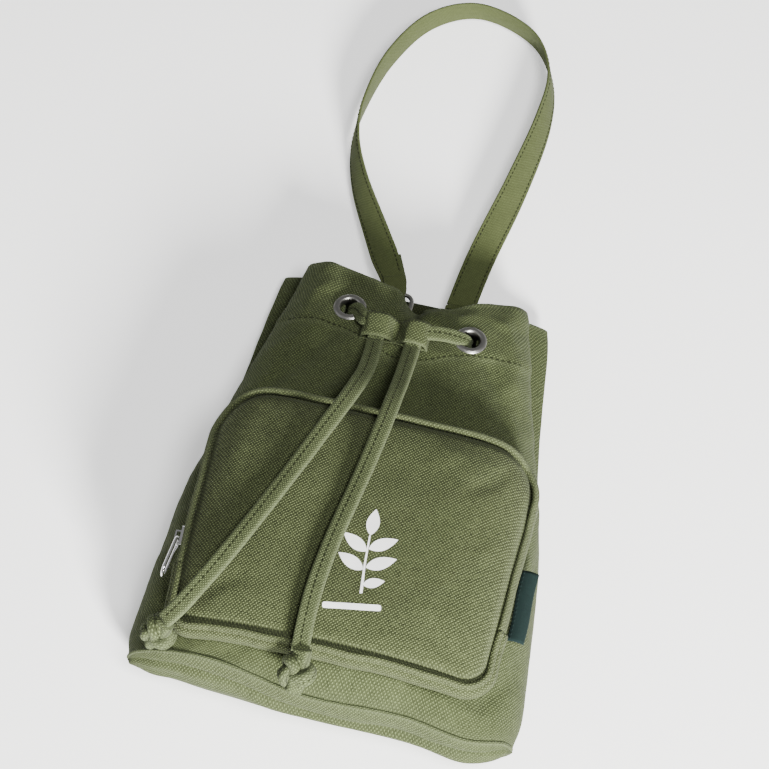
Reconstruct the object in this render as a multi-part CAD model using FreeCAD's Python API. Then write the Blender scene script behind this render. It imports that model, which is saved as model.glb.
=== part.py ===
import FreeCAD, Part
import math
import os

# Small canvas drawstring bucket bag, lying on its back. Millimetres. +X is the bag's right
# as seen from the front, +Y runs from the base to the mouth, +Z points up out of the
# front panel. The origin is on the supporting surface, under the middle of the back panel.

V = FreeCAD.Vector

# ---- Body ----
BODY_LENGTH = 240.0        # base to mouth edge
BASE_HALF_WIDTH = 103.0
MOUTH_HALF_WIDTH = 76.0    # back layer at the mouth
FRONT_TUCK = 12.0          # the front layer is this much narrower at the mouth, each side
SIDE_BULGE = 3.0
BASE_THICKNESS = 54.0
MOUTH_THICKNESS = 34.0
SEAM_HEIGHT = 14.0         # height of the side seams above the surface
SIDE_FOLD = 6.0            # how far the side seams fold inward at the mouth
REST_SINK = 0.6            # the back layer's middle, before it is cut flat where it rests
BODY_LEAN = 4.0            # the base lies this much to the right of the mouth
CANVAS = 1.6               # wall of one canvas layer with its hem allowance
MOUTH_DIP = 9.0            # the gathered front edge sits lower in the middle
DIP_WIDTH = 34.0
PLEAT_DEPTH = 8.0
PLEAT_X = 1.0
PLEAT_WIDTH = 9.0
BASE_SET_IN = 0.15         # the base panel sits this far inside the two layers
GAP = 0.3                  # clearance between neighbouring soft pieces
MOUTH_Y = BODY_LENGTH / 2.0
BASE_Y = -BODY_LENGTH / 2.0

# ---- Hem channel, eyelets and drawcord ----
HEM_DEPTH = 44.0
HEM_CHANNEL = 6.0
FACING_REACH = 0.36        # share of the width, from the middle, that each facing covers
FACING = 1.2
EYELET_OUTER = 18.0
EYELET_BORE = 10.8
EYELET_LIP = 1.3
EYELET_BARREL = 0.7        # wall of the barrel
EYELET_LEFT = (-30.7, MOUTH_Y - 28.3)
EYELET_RIGHT = (36.4, MOUTH_Y - 33.7)
WASHER_THICK = 0.6
CORD_WIDTH = 9.0
CORD_THICK = 3.4
KNOT_SIZE = 16.0
KEEPER_X = (-20.5, 15.5)
KEEPER_Y = (MOUTH_Y - 46.5, MOUTH_Y - 33.0)
KEEPER_LIFT = 0.8          # the keeper's underside over the front panel
KEEPER_WALL = 1.4
KEEPER_SIDE_SLOT = 10.5    # length of the side openings that the eyelet leads come through
CORD_PLAY = (0.8, 1.2)     # clearance of the cord in its tunnel: each side, and in height
KEEPER_CORD_X = (-12.0, 8.0)

# Routes of the two free cord ends: keeper, over the pocket, to the knot.
CORD_LEFT_ROUTE = [
    (-12.0, 71.4, 45.7), (-9.5, 52.0, 53.5), (-9.5, 30.0, 66.0), (-15.5, 7.0, 71.5),
    (-24.5, -22.0, 73.3), (-35.8, -52.0, 74.6), (-49.0, -80.0, 73.6), (-60.5, -98.0, 70.2),
    (-69.0, -107.5, 66.2), (-75.2, -113.2, 60.0)]
CORD_RIGHT_ROUTE = [
    (8.0, 72.4, 45.4), (8.2, 52.0, 53.5), (7.8, 30.0, 66.0), (6.3, 7.0, 71.5),
    (3.0, -24.0, 73.6), (-1.0, -56.0, 75.0), (-3.6, -84.0, 75.6), (-4.5, -104.0, 75.0),
    (-4.5, -118.5, 71.6)]
KNOT_LEFT = (-78.2, -116.0, 50.5)
KNOT_RIGHT = (-4.5, -126.5, 66.5)

# ---- Pocket ----
# Corner points (x, y, radius): top left, top right, lower right, lower left.
POCKET_CORNERS = [
    (-83.0, BASE_Y + 146.0, 28.0), (91.5, BASE_Y + 143.0, 27.0),
    (87.5, BASE_Y + 6.5, 16.0), (-76.0, BASE_Y + 6.5, 15.0)]
POCKET_DEPTH = 14.0
POCKET_DOME = 3.5
POCKET_WALL = 1.4
ZIP_END_Y = BASE_Y + 40.0
# Heights above the front panel of the strips, tapes and coil round the pocket's edge.
BACK_STRIP = (0.3, 4.8)
FRONT_STRIP = (8.4, 13.75)
TAPE_BACK = (2.4, 5.7)
TAPE_FRONT = (7.5, 10.8)
TAPE_THICK = 0.6
COIL = (5.8, 7.4)
COIL_PROUD = 0.4           # how far the coil stands out of the strips
STOP_LENGTH = 2.4
SLIDER_Y = BASE_Y + 56.0
SLIDER_TRAVEL = 40.0       # straight stretch of the zip above the slider
SLIDER_LENGTH = 11.0
SLIDER_WIDTH = 7.0
SLIDER_THICK = 1.8
BRIDGE_LENGTH = 6.8
BRIDGE_WIDTH = 2.2
BRIDGE_WALL = 0.8
PULL_PLAY = 0.3            # clearance round the pull's wire in the slider's bridge
PULL_LENGTH = 24.0
PULL_WIDTH = 9.5
PULL_WIRE = 1.8
PULL_REST_TILT = 8.0       # the pull leans this far out from the pocket side, in degrees
LABEL_Y = (BASE_Y + 41.0, BASE_Y + 80.0)
LABEL_REACH = 8.0
LABEL_THICK = 1.0

# ---- Strap and ring ----
STRAP_WIDTH = 16.0
STRAP_THICK = 2.4
STRAP_EYE_WIDTH = 12.5     # the strap gathers to this width round the ring
RING_X = -13.0
RING_TOP_Y = MOUTH_Y + 0.6
RING_WIDTH = 21.6          # between wire centres
RING_HEIGHT = 17.6
RING_CORNER = 4.4
RING_WIRE = 2.4
RING_Z = 11.6
STRAP_END_X = 24.0
STRAP_END_Y = (MOUTH_Y - 23.0, MOUTH_Y - 1.2)
TAB_WIDTH = 10.0
TAB_TAIL = 17.0
STRAP_EYE_WALL = 1.5
STRAP_FOLD_BACK = 12.0     # length of the layer that is folded back behind the ring
TAB_EYE_WALL = 1.2
# Strap centreline (x, distance beyond the mouth edge, z) and how far the band is turned
# on edge, in degrees.
STRAP_ROUTE = [
    (24.3, 0.6, 10.4, 0.0), (28.5, 34.0, 10.3, 12.0), (38.0, 84.0, 10.5, 35.0),
    (43.5, 130.0, 10.5, 65.0), (41.0, 162.0, 10.5, 88.0), (25.0, 188.0, 10.5, 90.0),
    (-7.0, 200.0, 10.5, 90.0), (-34.0, 186.0, 10.5, 94.0), (-51.0, 155.0, 10.5, 92.0),
    (-58.0, 120.0, 10.5, 84.0), (-57.5, 94.0, 10.5, 72.0), (-48.5, 67.0, 10.8, 58.0),
    (-31.0, 35.0, 12.0, 36.0), (-14.5, 6.5, 13.2, 6.0)]


# ---- Shape helpers ----
def smooth(t):
    t = min(max(t, 0.0), 1.0)
    return t * t * (3.0 - 2.0 * t)


def mix(a, b, t):
    return a + (b - a) * t


def surface_face(grid):
    surface = Part.BSplineSurface()
    surface.interpolate(grid)
    return surface


def slab_solid(outer, inner):
    """Closed solid between two point grids of the same size."""
    first, second = surface_face(outer), surface_face(inner)
    faces = [first.toShape(), second.toShape()]
    u0, u1, v0, v1 = first.bounds()
    p0, p1, q0, q1 = second.bounds()
    rims = [(first.uIso(u0), second.uIso(p0)), (first.uIso(u1), second.uIso(p1)),
            (first.vIso(v0), second.vIso(q0)), (first.vIso(v1), second.vIso(q1))]
    for edge_a, edge_b in rims:
        faces.append(Part.makeRuledSurface(edge_a.toShape(), edge_b.toShape()))
    shell = Part.makeShell(faces)
    shell.sewShape()
    solid = Part.makeSolid(shell)
    if solid.Volume < 0:
        solid.reverse()
    return solid


def corner_frames(corners):
    """At each corner: its point, the ways to both neighbours, the bisector and half the angle."""
    frames = []
    for index, (x, y, _) in enumerate(corners):
        here = V(x, y, 0)
        before = V(*corners[index - 1][:2], 0) - here
        after = V(*corners[(index + 1) % len(corners)][:2], 0) - here
        before.normalize()
        after.normalize()
        bisector = before + after
        bisector.normalize()
        frames.append((here, before, after, bisector, before.getAngle(after) / 2.0))
    return frames


def rounded_outline(corners):
    """Closed wire at z = 0 through corner points (x, y, radius), each corner rounded."""
    arcs = []
    for (here, before, after, bisector, half), (_, _, radius) in zip(corner_frames(corners), corners):
        reach = radius / math.tan(half)
        middle = here + bisector * (radius / math.sin(half) - radius)
        arcs.append((here + before * reach, middle, here + after * reach))
    edges = []
    for index, (start, middle, end) in enumerate(arcs):
        edges.append(Part.Arc(start, middle, end).toShape())
        edges.append(Part.LineSegment(end, arcs[(index + 1) % len(arcs)][0]).toShape())
    return Part.Wire(edges)


def polygon_inset(corners, inset):
    """The same rounded outline, moved inward by inset."""
    moved = []
    for (here, _, _, bisector, half), (_, _, radius) in zip(corner_frames(corners), corners):
        point = here + bisector * (inset / math.sin(half))
        moved.append((point.x, point.y, radius - inset))
    return moved


def prism(wire, low, high):
    face = Part.Face(wire)
    solid = face.extrude(V(0, 0, high - low))
    solid.translate(V(0, 0, low))
    return solid


def box(x0, x1, y0, y1, z0, z1):
    return Part.makeBox(x1 - x0, y1 - y0, z1 - z0, V(x0, y0, z0))


# ---- Body surface ----
def along(y):
    return (y - BASE_Y) / BODY_LENGTH


def centre_x(y):
    return BODY_LEAN * (1.0 - along(y))


def back_half_width(y):
    s = along(y)
    return mix(BASE_HALF_WIDTH, MOUTH_HALF_WIDTH, s) + SIDE_BULGE * math.sin(math.pi * min(max(s, 0), 1))


def fold_share(y):
    return smooth((along(y) - 0.35) / 0.65)


def front_half_width(y):
    return back_half_width(y) - FRONT_TUCK * fold_share(y)


def crown(y):
    """Height of the front panel's middle."""
    return mix(BASE_THICKNESS, MOUTH_THICKNESS, along(y) ** 2)


def roundness(y):
    """Exponents of the section: a lens at the base, boxier further up."""
    share = smooth(along(y) / 0.3)
    return mix(2.3, 4.6, share), mix(1.9, 2.3, share)


def front_height(x, y):
    """Height of the front panel's outer face away from the pleat and side folds."""
    power_x, power_z = roundness(y)
    share = min(abs(x - centre_x(y)) / front_half_width(y), 0.93)
    rise = crown(y) - SEAM_HEIGHT
    return SEAM_HEIGHT + rise * (1.0 - share ** power_x) ** (1.0 / power_z)


def section_share(c):
    """Place across the width for a station c from -1 (left seam) to 1 (right seam)."""
    return math.sin(c * math.pi / 2.0)


def front_point(y_row, c):
    """Outer face of the front layer."""
    power_x, power_z = roundness(y_row)
    share = section_share(c)
    rise = crown(y_row) - SEAM_HEIGHT
    x = front_half_width(y_row) * share
    z = SEAM_HEIGHT + rise * max(1.0 - abs(share) ** power_x, 0.0) ** (1.0 / power_z)
    fold = SIDE_FOLD * fold_share(y_row) * math.exp(-((z - SEAM_HEIGHT) / 6.0) ** 2)
    x -= fold * share
    near_mouth = smooth((along(y_row) - 0.72) / 0.28)
    valley = math.exp(-((x - PLEAT_X) / PLEAT_WIDTH) ** 2)
    z -= PLEAT_DEPTH * near_mouth * valley
    dip = MOUTH_DIP * math.exp(-(x / DIP_WIDTH) ** 2) * smooth((along(y_row) - 0.8) / 0.2)
    return V(x + centre_x(y_row), y_row - dip, z)


def back_point(y_row, c, floor=0.0):
    """Outer face of the back layer, flat where it rests; floor is the lowest it may reach."""
    share = section_share(c)
    z = SEAM_HEIGHT - (SEAM_HEIGHT + REST_SINK) * max(1.0 - abs(share) ** 5.0, 0.0) ** 0.45
    z = max(z, floor)
    tuck = (FRONT_TUCK + SIDE_FOLD) * fold_share(y_row)
    x = back_half_width(y_row) * share - tuck * share * math.exp(-((SEAM_HEIGHT - z) / 5.0) ** 2)
    return V(x + centre_x(y_row), y_row, z)


def outward_at(point_of, y_row, c):
    """Unit normal that points out of the bag."""
    at = min(max(c, -0.97), 0.97)
    across = point_of(y_row, at + 0.01) - point_of(y_row, at - 0.01)
    up = point_of(y_row + 0.5, at) - point_of(y_row - 0.5, at)
    normal = across.cross(up)
    normal.normalize()
    return normal if point_of is front_point else normal * -1.0


def wall_grid(point_of, rows, stations, depth_of):
    """Grid of points, each depth_of(y) inside the outer face."""
    return [[point_of(y, c) - outward_at(point_of, y, c) * depth_of(y) for c in stations] for y in rows]


def wall_solid(point_of, rows, stations, outer_depth, inner_depth):
    return slab_solid(wall_grid(point_of, rows, stations, outer_depth),
                      wall_grid(point_of, rows, stations, inner_depth))


def spread(low, high, count):
    return [mix(low, high, i / (count - 1)) for i in range(count)]


# ---- Body pieces ----
ROWS = spread(BASE_Y, MOUTH_Y, 19)
STATIONS = spread(-0.998, 0.998, 61)
EYELETS = {"left": EYELET_LEFT, "right": EYELET_RIGHT}


def station_at(x, y):
    """Station c whose front point lies at x."""
    low, high = -1.0, 1.0
    for _ in range(40):
        middle = (low + high) / 2.0
        if front_point(y, middle).x < x:
            low = middle
        else:
            high = middle
    return (low + high) / 2.0


def eyelet_seat(side):
    """Point on the front panel's outer face and the normal there."""
    x, y = EYELETS[side]
    row = y
    for _ in range(12):
        c = station_at(x, row)
        row += y - front_point(row, c).y
    return front_point(row, c), outward_at(front_point, row, c)


def along_normal(shape, side):
    """Place a shape made about the origin, axis +Z, on an eyelet's seat."""
    seat, normal = eyelet_seat(side)
    shape.Placement = FreeCAD.Placement(seat, FreeCAD.Rotation(V(0, 0, 1), normal)).multiply(shape.Placement)
    return shape


def make_front_panel():
    panel = wall_solid(front_point, ROWS, STATIONS, lambda y: 0.0, lambda y: CANVAS)
    for side in EYELETS:
        hole = Part.makeCylinder(EYELET_BORE / 2.0 + 1.0, 12.0, V(0, 0, -6.0))
        panel = panel.cut(along_normal(hole, side))
    return panel


def make_back_panel():
    """Back layer, with one plane face where the bag rests."""
    outer = [[back_point(y, c, -REST_SINK) for c in STATIONS] for y in ROWS]
    panel = slab_solid(outer, wall_grid(back_point, ROWS, STATIONS, lambda y: CANVAS))
    return panel.cut(box(-2 * BASE_HALF_WIDTH, 2 * BASE_HALF_WIDTH, BASE_Y - 1.0, MOUTH_Y + 1.0, -5.0, 0.0))


def make_base_panel():
    """Oval canvas disc sewn across the base end, just inside the two layers."""
    stations = spread(-0.985, 0.985, 41)
    depth = CANVAS + BASE_SET_IN
    top = [front_point(BASE_Y, c) - outward_at(front_point, BASE_Y, c) * depth for c in stations]
    bottom = [back_point(BASE_Y, c) - outward_at(back_point, BASE_Y, c) * depth for c in stations]
    y0 = BASE_Y + BASE_SET_IN
    loop = [V(p.x, y0, p.z) for p in top] + [V(p.x, y0, p.z) for p in reversed(bottom)]
    face = Part.Face(Part.makePolygon(loop + [loop[0]]))
    return face.extrude(V(0, CANVAS, 0))


def hem_offset(y):
    """Width of the drawcord channel between the panel and its facing."""
    share = min(max((MOUTH_Y - y) / HEM_DEPTH, 0.0), 1.0)
    return CANVAS + GAP + (HEM_CHANNEL - GAP) * math.sin(math.pi * share) ** 0.3


def make_hem_facing(point_of, reach):
    rows = spread(MOUTH_Y - HEM_DEPTH, MOUTH_Y, 13)
    stations = spread(-reach, reach, 41)
    return wall_solid(point_of, rows, stations, hem_offset, lambda y: hem_offset(y) + FACING)


def make_eyelet(side):
    """Rolled flange on the outer face with a barrel through the canvas."""
    inner, outer = EYELET_BORE / 2.0, EYELET_OUTER / 2.0
    reach = CANVAS + 2.0 * WASHER_THICK
    barrel = Part.makeCylinder(inner + EYELET_BARREL, reach + 0.1, V(0, 0, -reach))
    flange = Part.makeCylinder(outer, EYELET_LIP, V(0, 0, 0.05))
    flange = flange.makeFillet(EYELET_LIP * 0.8, [flange.Edges[0]])
    body = flange.fuse(barrel)
    body = body.cut(Part.makeCylinder(inner, 20.0, V(0, 0, -10.0))).removeSplitter()
    return along_normal(body, side)


def make_eyelet_washer(side):
    inner, outer = EYELET_BORE / 2.0 + EYELET_BARREL + 0.05, EYELET_OUTER / 2.0 - 1.0
    washer = Part.makeCylinder(outer, WASHER_THICK, V(0, 0, -CANVAS - GAP - WASHER_THICK))
    washer = washer.cut(Part.makeCylinder(inner, 4.0, V(0, 0, -CANVAS - 3.0)))
    return along_normal(washer, side)


# ---- Drawcord ----
def catmull(points, per_span):
    """Smooth run of points through the given ones."""
    out = []
    last = len(points) - 1
    for i in range(last):
        p0, p1 = points[max(i - 1, 0)], points[i]
        p2, p3 = points[i + 1], points[min(i + 2, last)]
        for k in range(per_span):
            t = k / per_span
            out.append((p1 * 2 + (p2 - p0) * t + (p0 * 2 - p1 * 5 + p2 * 4 - p3) * t ** 2
                        + (p1 * 3 - p0 - p2 * 3 + p3) * t ** 3) * 0.5)
    out.append(points[last])
    return out


def band_solid(centres, widths, normals, width_of, thick):
    """Flat band along centre points; widths and normals are unit vectors at each point."""
    outer, inner = [], []
    for index, centre in enumerate(centres):
        half = width_of(index / (len(centres) - 1)) / 2.0
        line = [centre + widths[index] * (half * k) for k in (-1.0, -0.5, 0.0, 0.5, 1.0)]
        outer.append([p + normals[index] * (thick / 2.0) for p in line])
        inner.append([p - normals[index] * (thick / 2.0) for p in line])
    return slab_solid(outer, inner)


def make_hem_run():
    """The drawcord inside the hem: from the left eyelet round the back to the right one."""
    depth = CANVAS + 2.0 * WASHER_THICK + 2.0 * GAP + CORD_THICK / 2.0
    row = MOUTH_Y - HEM_DEPTH * 0.66

    def in_front(x):
        c = station_at(x, row)
        rise = front_point(row + 2.0, c) - front_point(row - 2.0, c)
        rise.normalize()
        p = front_point(row, c) - outward_at(front_point, row, c) * depth
        return V(p.x, row, p.z), V(0, rise.y, rise.z)

    flat = V(0, 1, 0)
    side = front_half_width(row) - SIDE_FOLD
    turn = [(side - 9.0, 22.0), (side - 5.5, 15.0), (side - 10.0, 7.6)]
    left = [in_front(EYELET_LEFT[0] - 3.0), in_front(EYELET_LEFT[0] - 13.0)]
    right = [in_front(EYELET_RIGHT[0] + 3.0), in_front(EYELET_RIGHT[0] + 11.0)]
    stops = left + [(V(-x, row, z), flat) for x, z in turn]
    stops += [(V(x, row, depth), flat) for x in (-44.0, -34.0, -17.0, 0.0, 17.0, 34.0, 44.0)]
    stops += [(V(x, row, z), flat) for x, z in reversed(turn)] + right[::-1]
    centres = catmull([centre for centre, _ in stops], 5)
    widths = catmull([width for _, width in stops], 5)
    count = len(centres)
    normals = []
    for index in range(count):
        tangent = centres[min(index + 1, count - 1)] - centres[max(index - 1, 0)]
        tangent.normalize()
        widths[index].normalize()
        normals.append(tangent.cross(widths[index]))
    return band_solid(centres, widths, normals, lambda s: CORD_WIDTH, CORD_THICK)


def cord_path(route):
    """Straight runs joined by tangent arcs, and the arcs' radii."""
    points = [V(*p) for p in route]
    edges, radii = [], []
    start = points[0]
    for before, here, after in zip(points, points[1:], points[2:]):
        toward, onward = before - here, after - here
        shorter = min(toward.Length, onward.Length)
        toward.normalize()
        onward.normalize()
        turn = math.pi - toward.getAngle(onward)
        reach = 0.45 * shorter
        radius = reach / math.tan(turn / 2.0)
        bisector = toward + onward
        bisector.normalize()
        enter, leave = here + toward * reach, here + onward * reach
        middle = here + bisector * (radius / math.cos(turn / 2.0) - radius)
        edges.append(Part.LineSegment(start, enter).toShape())
        edges.append(Part.Arc(enter, middle, leave).toShape())
        radii.append(round(radius))
        start = leave
    edges.append(Part.LineSegment(start, points[-1]).toShape())
    return Part.Wire(edges), radii


def make_cord(route, name):
    path, radii = cord_path(route)
    start, step = V(*route[0]), V(*route[1]) - V(*route[0])
    step.normalize()
    overall = V(*route[-1]) - V(*route[0])
    across = overall.cross(V(0, 0, 1))
    across.normalize()
    up = across.cross(step)
    up.normalize()
    w, t = across * (CORD_WIDTH / 2.0), up * (CORD_THICK / 2.0)
    corners = [start + w + t, start - w + t, start - w - t, start + w - t]
    profile = Part.makePolygon(corners + [corners[0]])
    pipe = Part.BRepOffsetAPI.MakePipeShell(path)
    pipe.setBiNormalMode(across)
    pipe.add(profile)
    pipe.build()
    pipe.makeSolid()
    solid = pipe.shape()
    print(name, "length", round(path.Length, 1), "radii", radii, "volume", round(solid.Volume),
          "section x length", round(CORD_WIDTH * CORD_THICK * path.Length))
    return solid


def make_knot(centre, route):
    """Overhand knot, with the cord's cut end standing out below it."""
    end = V(*route[-1])
    middle = V(*centre)
    way = middle - end
    way.normalize()
    ball = Part.makeSphere(KNOT_SIZE / 2.0)
    stretch = FreeCAD.Matrix()
    stretch.scale(1.0, 0.8, 0.85)
    ball = ball.transformGeometry(stretch)
    ball.translate(middle)
    tail_top = middle + way * (KNOT_SIZE * 0.25)
    tail = Part.makeCylinder(CORD_THICK * 0.8, KNOT_SIZE * 0.38, tail_top, way)
    cord = Part.makeCylinder(CORD_THICK * 0.5, (middle - end).Length, end, way)
    return ball.fuse([tail, cord]).removeSplitter()


def keeper_low():
    """Height of the keeper's underside."""
    return crown(KEEPER_Y[0]) + KEEPER_LIFT


def make_lead(side):
    """The stretch of drawcord between an eyelet and the keeper."""
    seat, normal = eyelet_seat(side)
    centre_x_keeper = KEEPER_CORD_X[0] if side == "left" else KEEPER_CORD_X[1]
    mid_z = keeper_low() + KEEPER_WALL + CORD_THICK / 2.0 + 0.4
    inward = 1.0 if side == "left" else -1.0
    edge = KEEPER_X[0] if side == "left" else KEEPER_X[1]
    y_in = (KEEPER_Y[0] + KEEPER_Y[1]) / 2.0 + 1.5
    points = [seat - normal * 2.0, seat + normal * 1.2, seat + normal * 4.2 + V(inward * 3.0, -0.6, 0)]
    points.append(V(edge - inward * 2.0, mix(seat.y, y_in, 0.7), mid_z + 0.2))
    points.append(V(centre_x_keeper - inward * 4.4, y_in, mid_z))
    centres = catmull(points, 5)
    count = len(centres)
    widths, normals = [], []
    for index in range(count):
        tangent = centres[min(index + 1, count - 1)] - centres[max(index - 1, 0)]
        tangent.normalize()
        width = V(0, 1, 0) - tangent * tangent.y
        width.normalize()
        widths.append(width)
        normals.append(tangent.cross(width))
    band = band_solid(centres, widths, normals, lambda s: CORD_WIDTH * 0.94, CORD_THICK * 0.94)
    half = CORD_WIDTH / 2.0
    run = box(centre_x_keeper - half, centre_x_keeper + half, KEEPER_Y[0] + GAP, y_in + 4.0,
              mid_z - CORD_THICK / 2.0, mid_z + CORD_THICK / 2.0)
    return band.fuse(run)


def make_keeper():
    """Canvas strip folded round both cord ends, with a tunnel for each."""
    (x0, x1), (y0, y1) = KEEPER_X, KEEPER_Y
    z0 = keeper_low()
    tunnel_w, tunnel_h = CORD_WIDTH + 2.0 * CORD_PLAY[0], CORD_THICK + CORD_PLAY[1]
    height = tunnel_h + 2.0 * KEEPER_WALL
    waist = (KEEPER_CORD_X[0] + KEEPER_CORD_X[1]) / 2.0
    body = box(x0, x1, y0, y1, z0, z0 + height)
    body = body.makeFillet(2.4, [e for e in body.Edges if abs(e.BoundBox.YLength - (y1 - y0)) < 0.01])
    pinch = Part.makeCylinder(5.0, y1 - y0 + 2.0, V(waist, y0 - 1.0, z0 + height + 2.6), V(0, 1, 0))
    body = body.cut(pinch)
    for x in KEEPER_CORD_X:
        low = z0 + KEEPER_WALL
        tunnel = box(x - tunnel_w / 2.0, x + tunnel_w / 2.0, y0 - 1.0, y1 - 0.8, low, low + tunnel_h)
        outer = x0 - 1.0 if x < waist else x1 + 1.0
        side = box(min(x, outer), max(x, outer), y1 - KEEPER_SIDE_SLOT, y1 + 1.0,
                   z0 - 1.0, low + tunnel_h + 0.4)
        body = body.cut(tunnel).cut(side)
    return body


# ---- Pocket ----
POCKET_ROWS = spread(BASE_Y, BASE_Y + 154.0, 13)
POCKET_COLUMNS = spread(-92.0, 100.0, 25)


def pocket_dome(x, y):
    (x0, y0), (x1, y1) = (POCKET_CORNERS[3][0], POCKET_CORNERS[3][1]), POCKET_CORNERS[1][:2]
    across = (2.0 * x - x0 - x1) / (x1 - x0)
    up = (2.0 * y - y0 - y1) / (y1 - y0)
    share = max(1.0 - across ** 4, 0.0) * max(1.0 - up ** 4, 0.0)
    return POCKET_DOME * share


def pocket_layer(low, high, dome=0.0):
    """Solid that follows the front panel between two heights above it."""
    def grid(height):
        return [[V(x, y, front_height(x, y) + height + dome * pocket_dome(x, y)) for x in POCKET_COLUMNS]
                for y in POCKET_ROWS]
    return slab_solid(grid(low), grid(high))


def pocket_ring(outer_inset, thick):
    """Upright wall that follows the pocket's outline."""
    outer = prism(rounded_outline(polygon_inset(POCKET_CORNERS, outer_inset)), 0.0, 100.0)
    inner = prism(rounded_outline(polygon_inset(POCKET_CORNERS, outer_inset + thick)), -1.0, 101.0)
    return outer.cut(inner)


def above(y):
    return box(-150, 150, y, 150, -10, 120)


def below(y):
    return box(-150, 150, -200, y, -10, 120)


def make_pocket_front():
    outline = prism(rounded_outline(POCKET_CORNERS), 0.0, 120.0)
    return pocket_layer(POCKET_DEPTH, POCKET_DEPTH + CANVAS, 1.0).common(outline)


def zip_strip(heights):
    return pocket_ring(0.0, POCKET_WALL).common(pocket_layer(*heights)).common(above(ZIP_END_Y))


def make_lower_gusset():
    wall = pocket_ring(0.0, POCKET_WALL).common(pocket_layer(BACK_STRIP[0], FRONT_STRIP[1]))
    return wall.common(below(ZIP_END_Y - 0.1))


def make_zip_tapes():
    ring = pocket_ring(POCKET_WALL + 0.05, TAPE_THICK).common(above(ZIP_END_Y))
    return Part.makeCompound([ring.common(pocket_layer(*TAPE_BACK)), ring.common(pocket_layer(*TAPE_FRONT))])


def make_zip_coil():
    ring = pocket_ring(POCKET_WALL - COIL_PROUD, TAPE_THICK + 2.0 * COIL_PROUD)
    return ring.common(pocket_layer(*COIL)).common(above(ZIP_END_Y + STOP_LENGTH + 0.8))


def make_zip_stops():
    """Metal stop at each end of the coil."""
    ring = pocket_ring(POCKET_WALL - COIL_PROUD - 0.1, TAPE_THICK + 2.0 * COIL_PROUD + 0.2)
    ring = ring.common(pocket_layer(COIL[0] - 0.05, COIL[1] + 0.05))
    return ring.common(box(-150, 150, ZIP_END_Y + 0.6, ZIP_END_Y + 0.6 + STOP_LENGTH, 0, 120))


def left_edge_x(y):
    (x0, y0, _), (x1, y1, _) = POCKET_CORNERS[3], POCKET_CORNERS[0]
    return mix(x0, x1, (y - y0) / (y1 - y0))


def zip_height(y):
    """Height of the coil's middle on the pocket's left side."""
    return front_height(left_edge_x(y), y) + (COIL[0] + COIL[1]) / 2.0


def on_left_side(shape):
    """Turn a slider part, made along +Y about the origin, to lie on the pocket's left side."""
    y0, y1 = SLIDER_Y, SLIDER_Y + SLIDER_TRAVEL
    way = V(left_edge_x(y1) - left_edge_x(y0), y1 - y0, zip_height(y1) - zip_height(y0))
    place = V(left_edge_x(SLIDER_Y), SLIDER_Y, zip_height(SLIDER_Y))
    shape.Placement = FreeCAD.Placement(place, FreeCAD.Rotation(V(0, 1, 0), way)).multiply(shape.Placement)
    return shape


def make_slider():
    """Zip slider: a plate over the coil with a bridge for the pull."""
    face = -GAP - SLIDER_THICK
    plate = box(face, -GAP, -SLIDER_LENGTH / 2.0, SLIDER_LENGTH / 2.0, -SLIDER_WIDTH / 2.0, SLIDER_WIDTH / 2.0)
    plate = plate.makeFillet(1.6, [e for e in plate.Edges if abs(e.BoundBox.XLength - SLIDER_THICK) < 0.01])
    arch = PULL_WIRE + 2.0 * PULL_PLAY
    bridge = box(face - arch - BRIDGE_WALL, face + 0.1, -BRIDGE_LENGTH / 2.0, BRIDGE_LENGTH / 2.0,
                 -BRIDGE_WIDTH / 2.0, BRIDGE_WIDTH / 2.0)
    slot = box(face - arch, face, BRIDGE_WALL - BRIDGE_LENGTH / 2.0, BRIDGE_LENGTH / 2.0 - BRIDGE_WALL,
               -BRIDGE_WIDTH, BRIDGE_WIDTH)
    return on_left_side(plate.fuse(bridge.cut(slot)).removeSplitter())


def make_pull():
    """Oval wire loop that hangs from the slider's bridge."""
    outer_x = -GAP - SLIDER_THICK - PULL_PLAY - PULL_WIRE / 2.0
    radius = (PULL_WIDTH - PULL_WIRE) / 2.0
    straight = PULL_LENGTH - PULL_WIDTH
    top_y = -0.8
    centre_top, centre_low = top_y - radius, top_y - radius - straight
    edges = [
        Part.Arc(V(0, centre_top, radius), V(0, top_y, 0), V(0, centre_top, -radius)).toShape(),
        Part.LineSegment(V(0, centre_top, -radius), V(0, centre_low, -radius)).toShape(),
        Part.Arc(V(0, centre_low, -radius), V(0, centre_low - radius, 0), V(0, centre_low, radius)).toShape(),
        Part.LineSegment(V(0, centre_low, radius), V(0, centre_top, radius)).toShape()]
    path = Part.Wire(edges)
    profile = Part.Wire(Part.makeCircle(PULL_WIRE / 2.0, V(0, centre_top, radius), V(0, 1, 0)))
    loop = path.makePipeShell([profile], True, False)
    loop.rotate(V(0, top_y, 0), V(0, 0, 1), -PULL_REST_TILT)
    loop.translate(V(outer_x, 0, 0))
    return on_left_side(loop)


def make_label():
    """Folded woven tab held in the pocket's right seam."""
    x0 = mix(POCKET_CORNERS[2][0], POCKET_CORNERS[1][0], 0.4)
    tab = box(x0 - 0.2, x0 + LABEL_REACH, LABEL_Y[0], LABEL_Y[1], 0.0, LABEL_THICK)
    z = front_height(x0 + 2.0, sum(LABEL_Y) / 2.0)
    tab.translate(V(2.2, 0, z + 0.9))
    return tab


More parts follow.
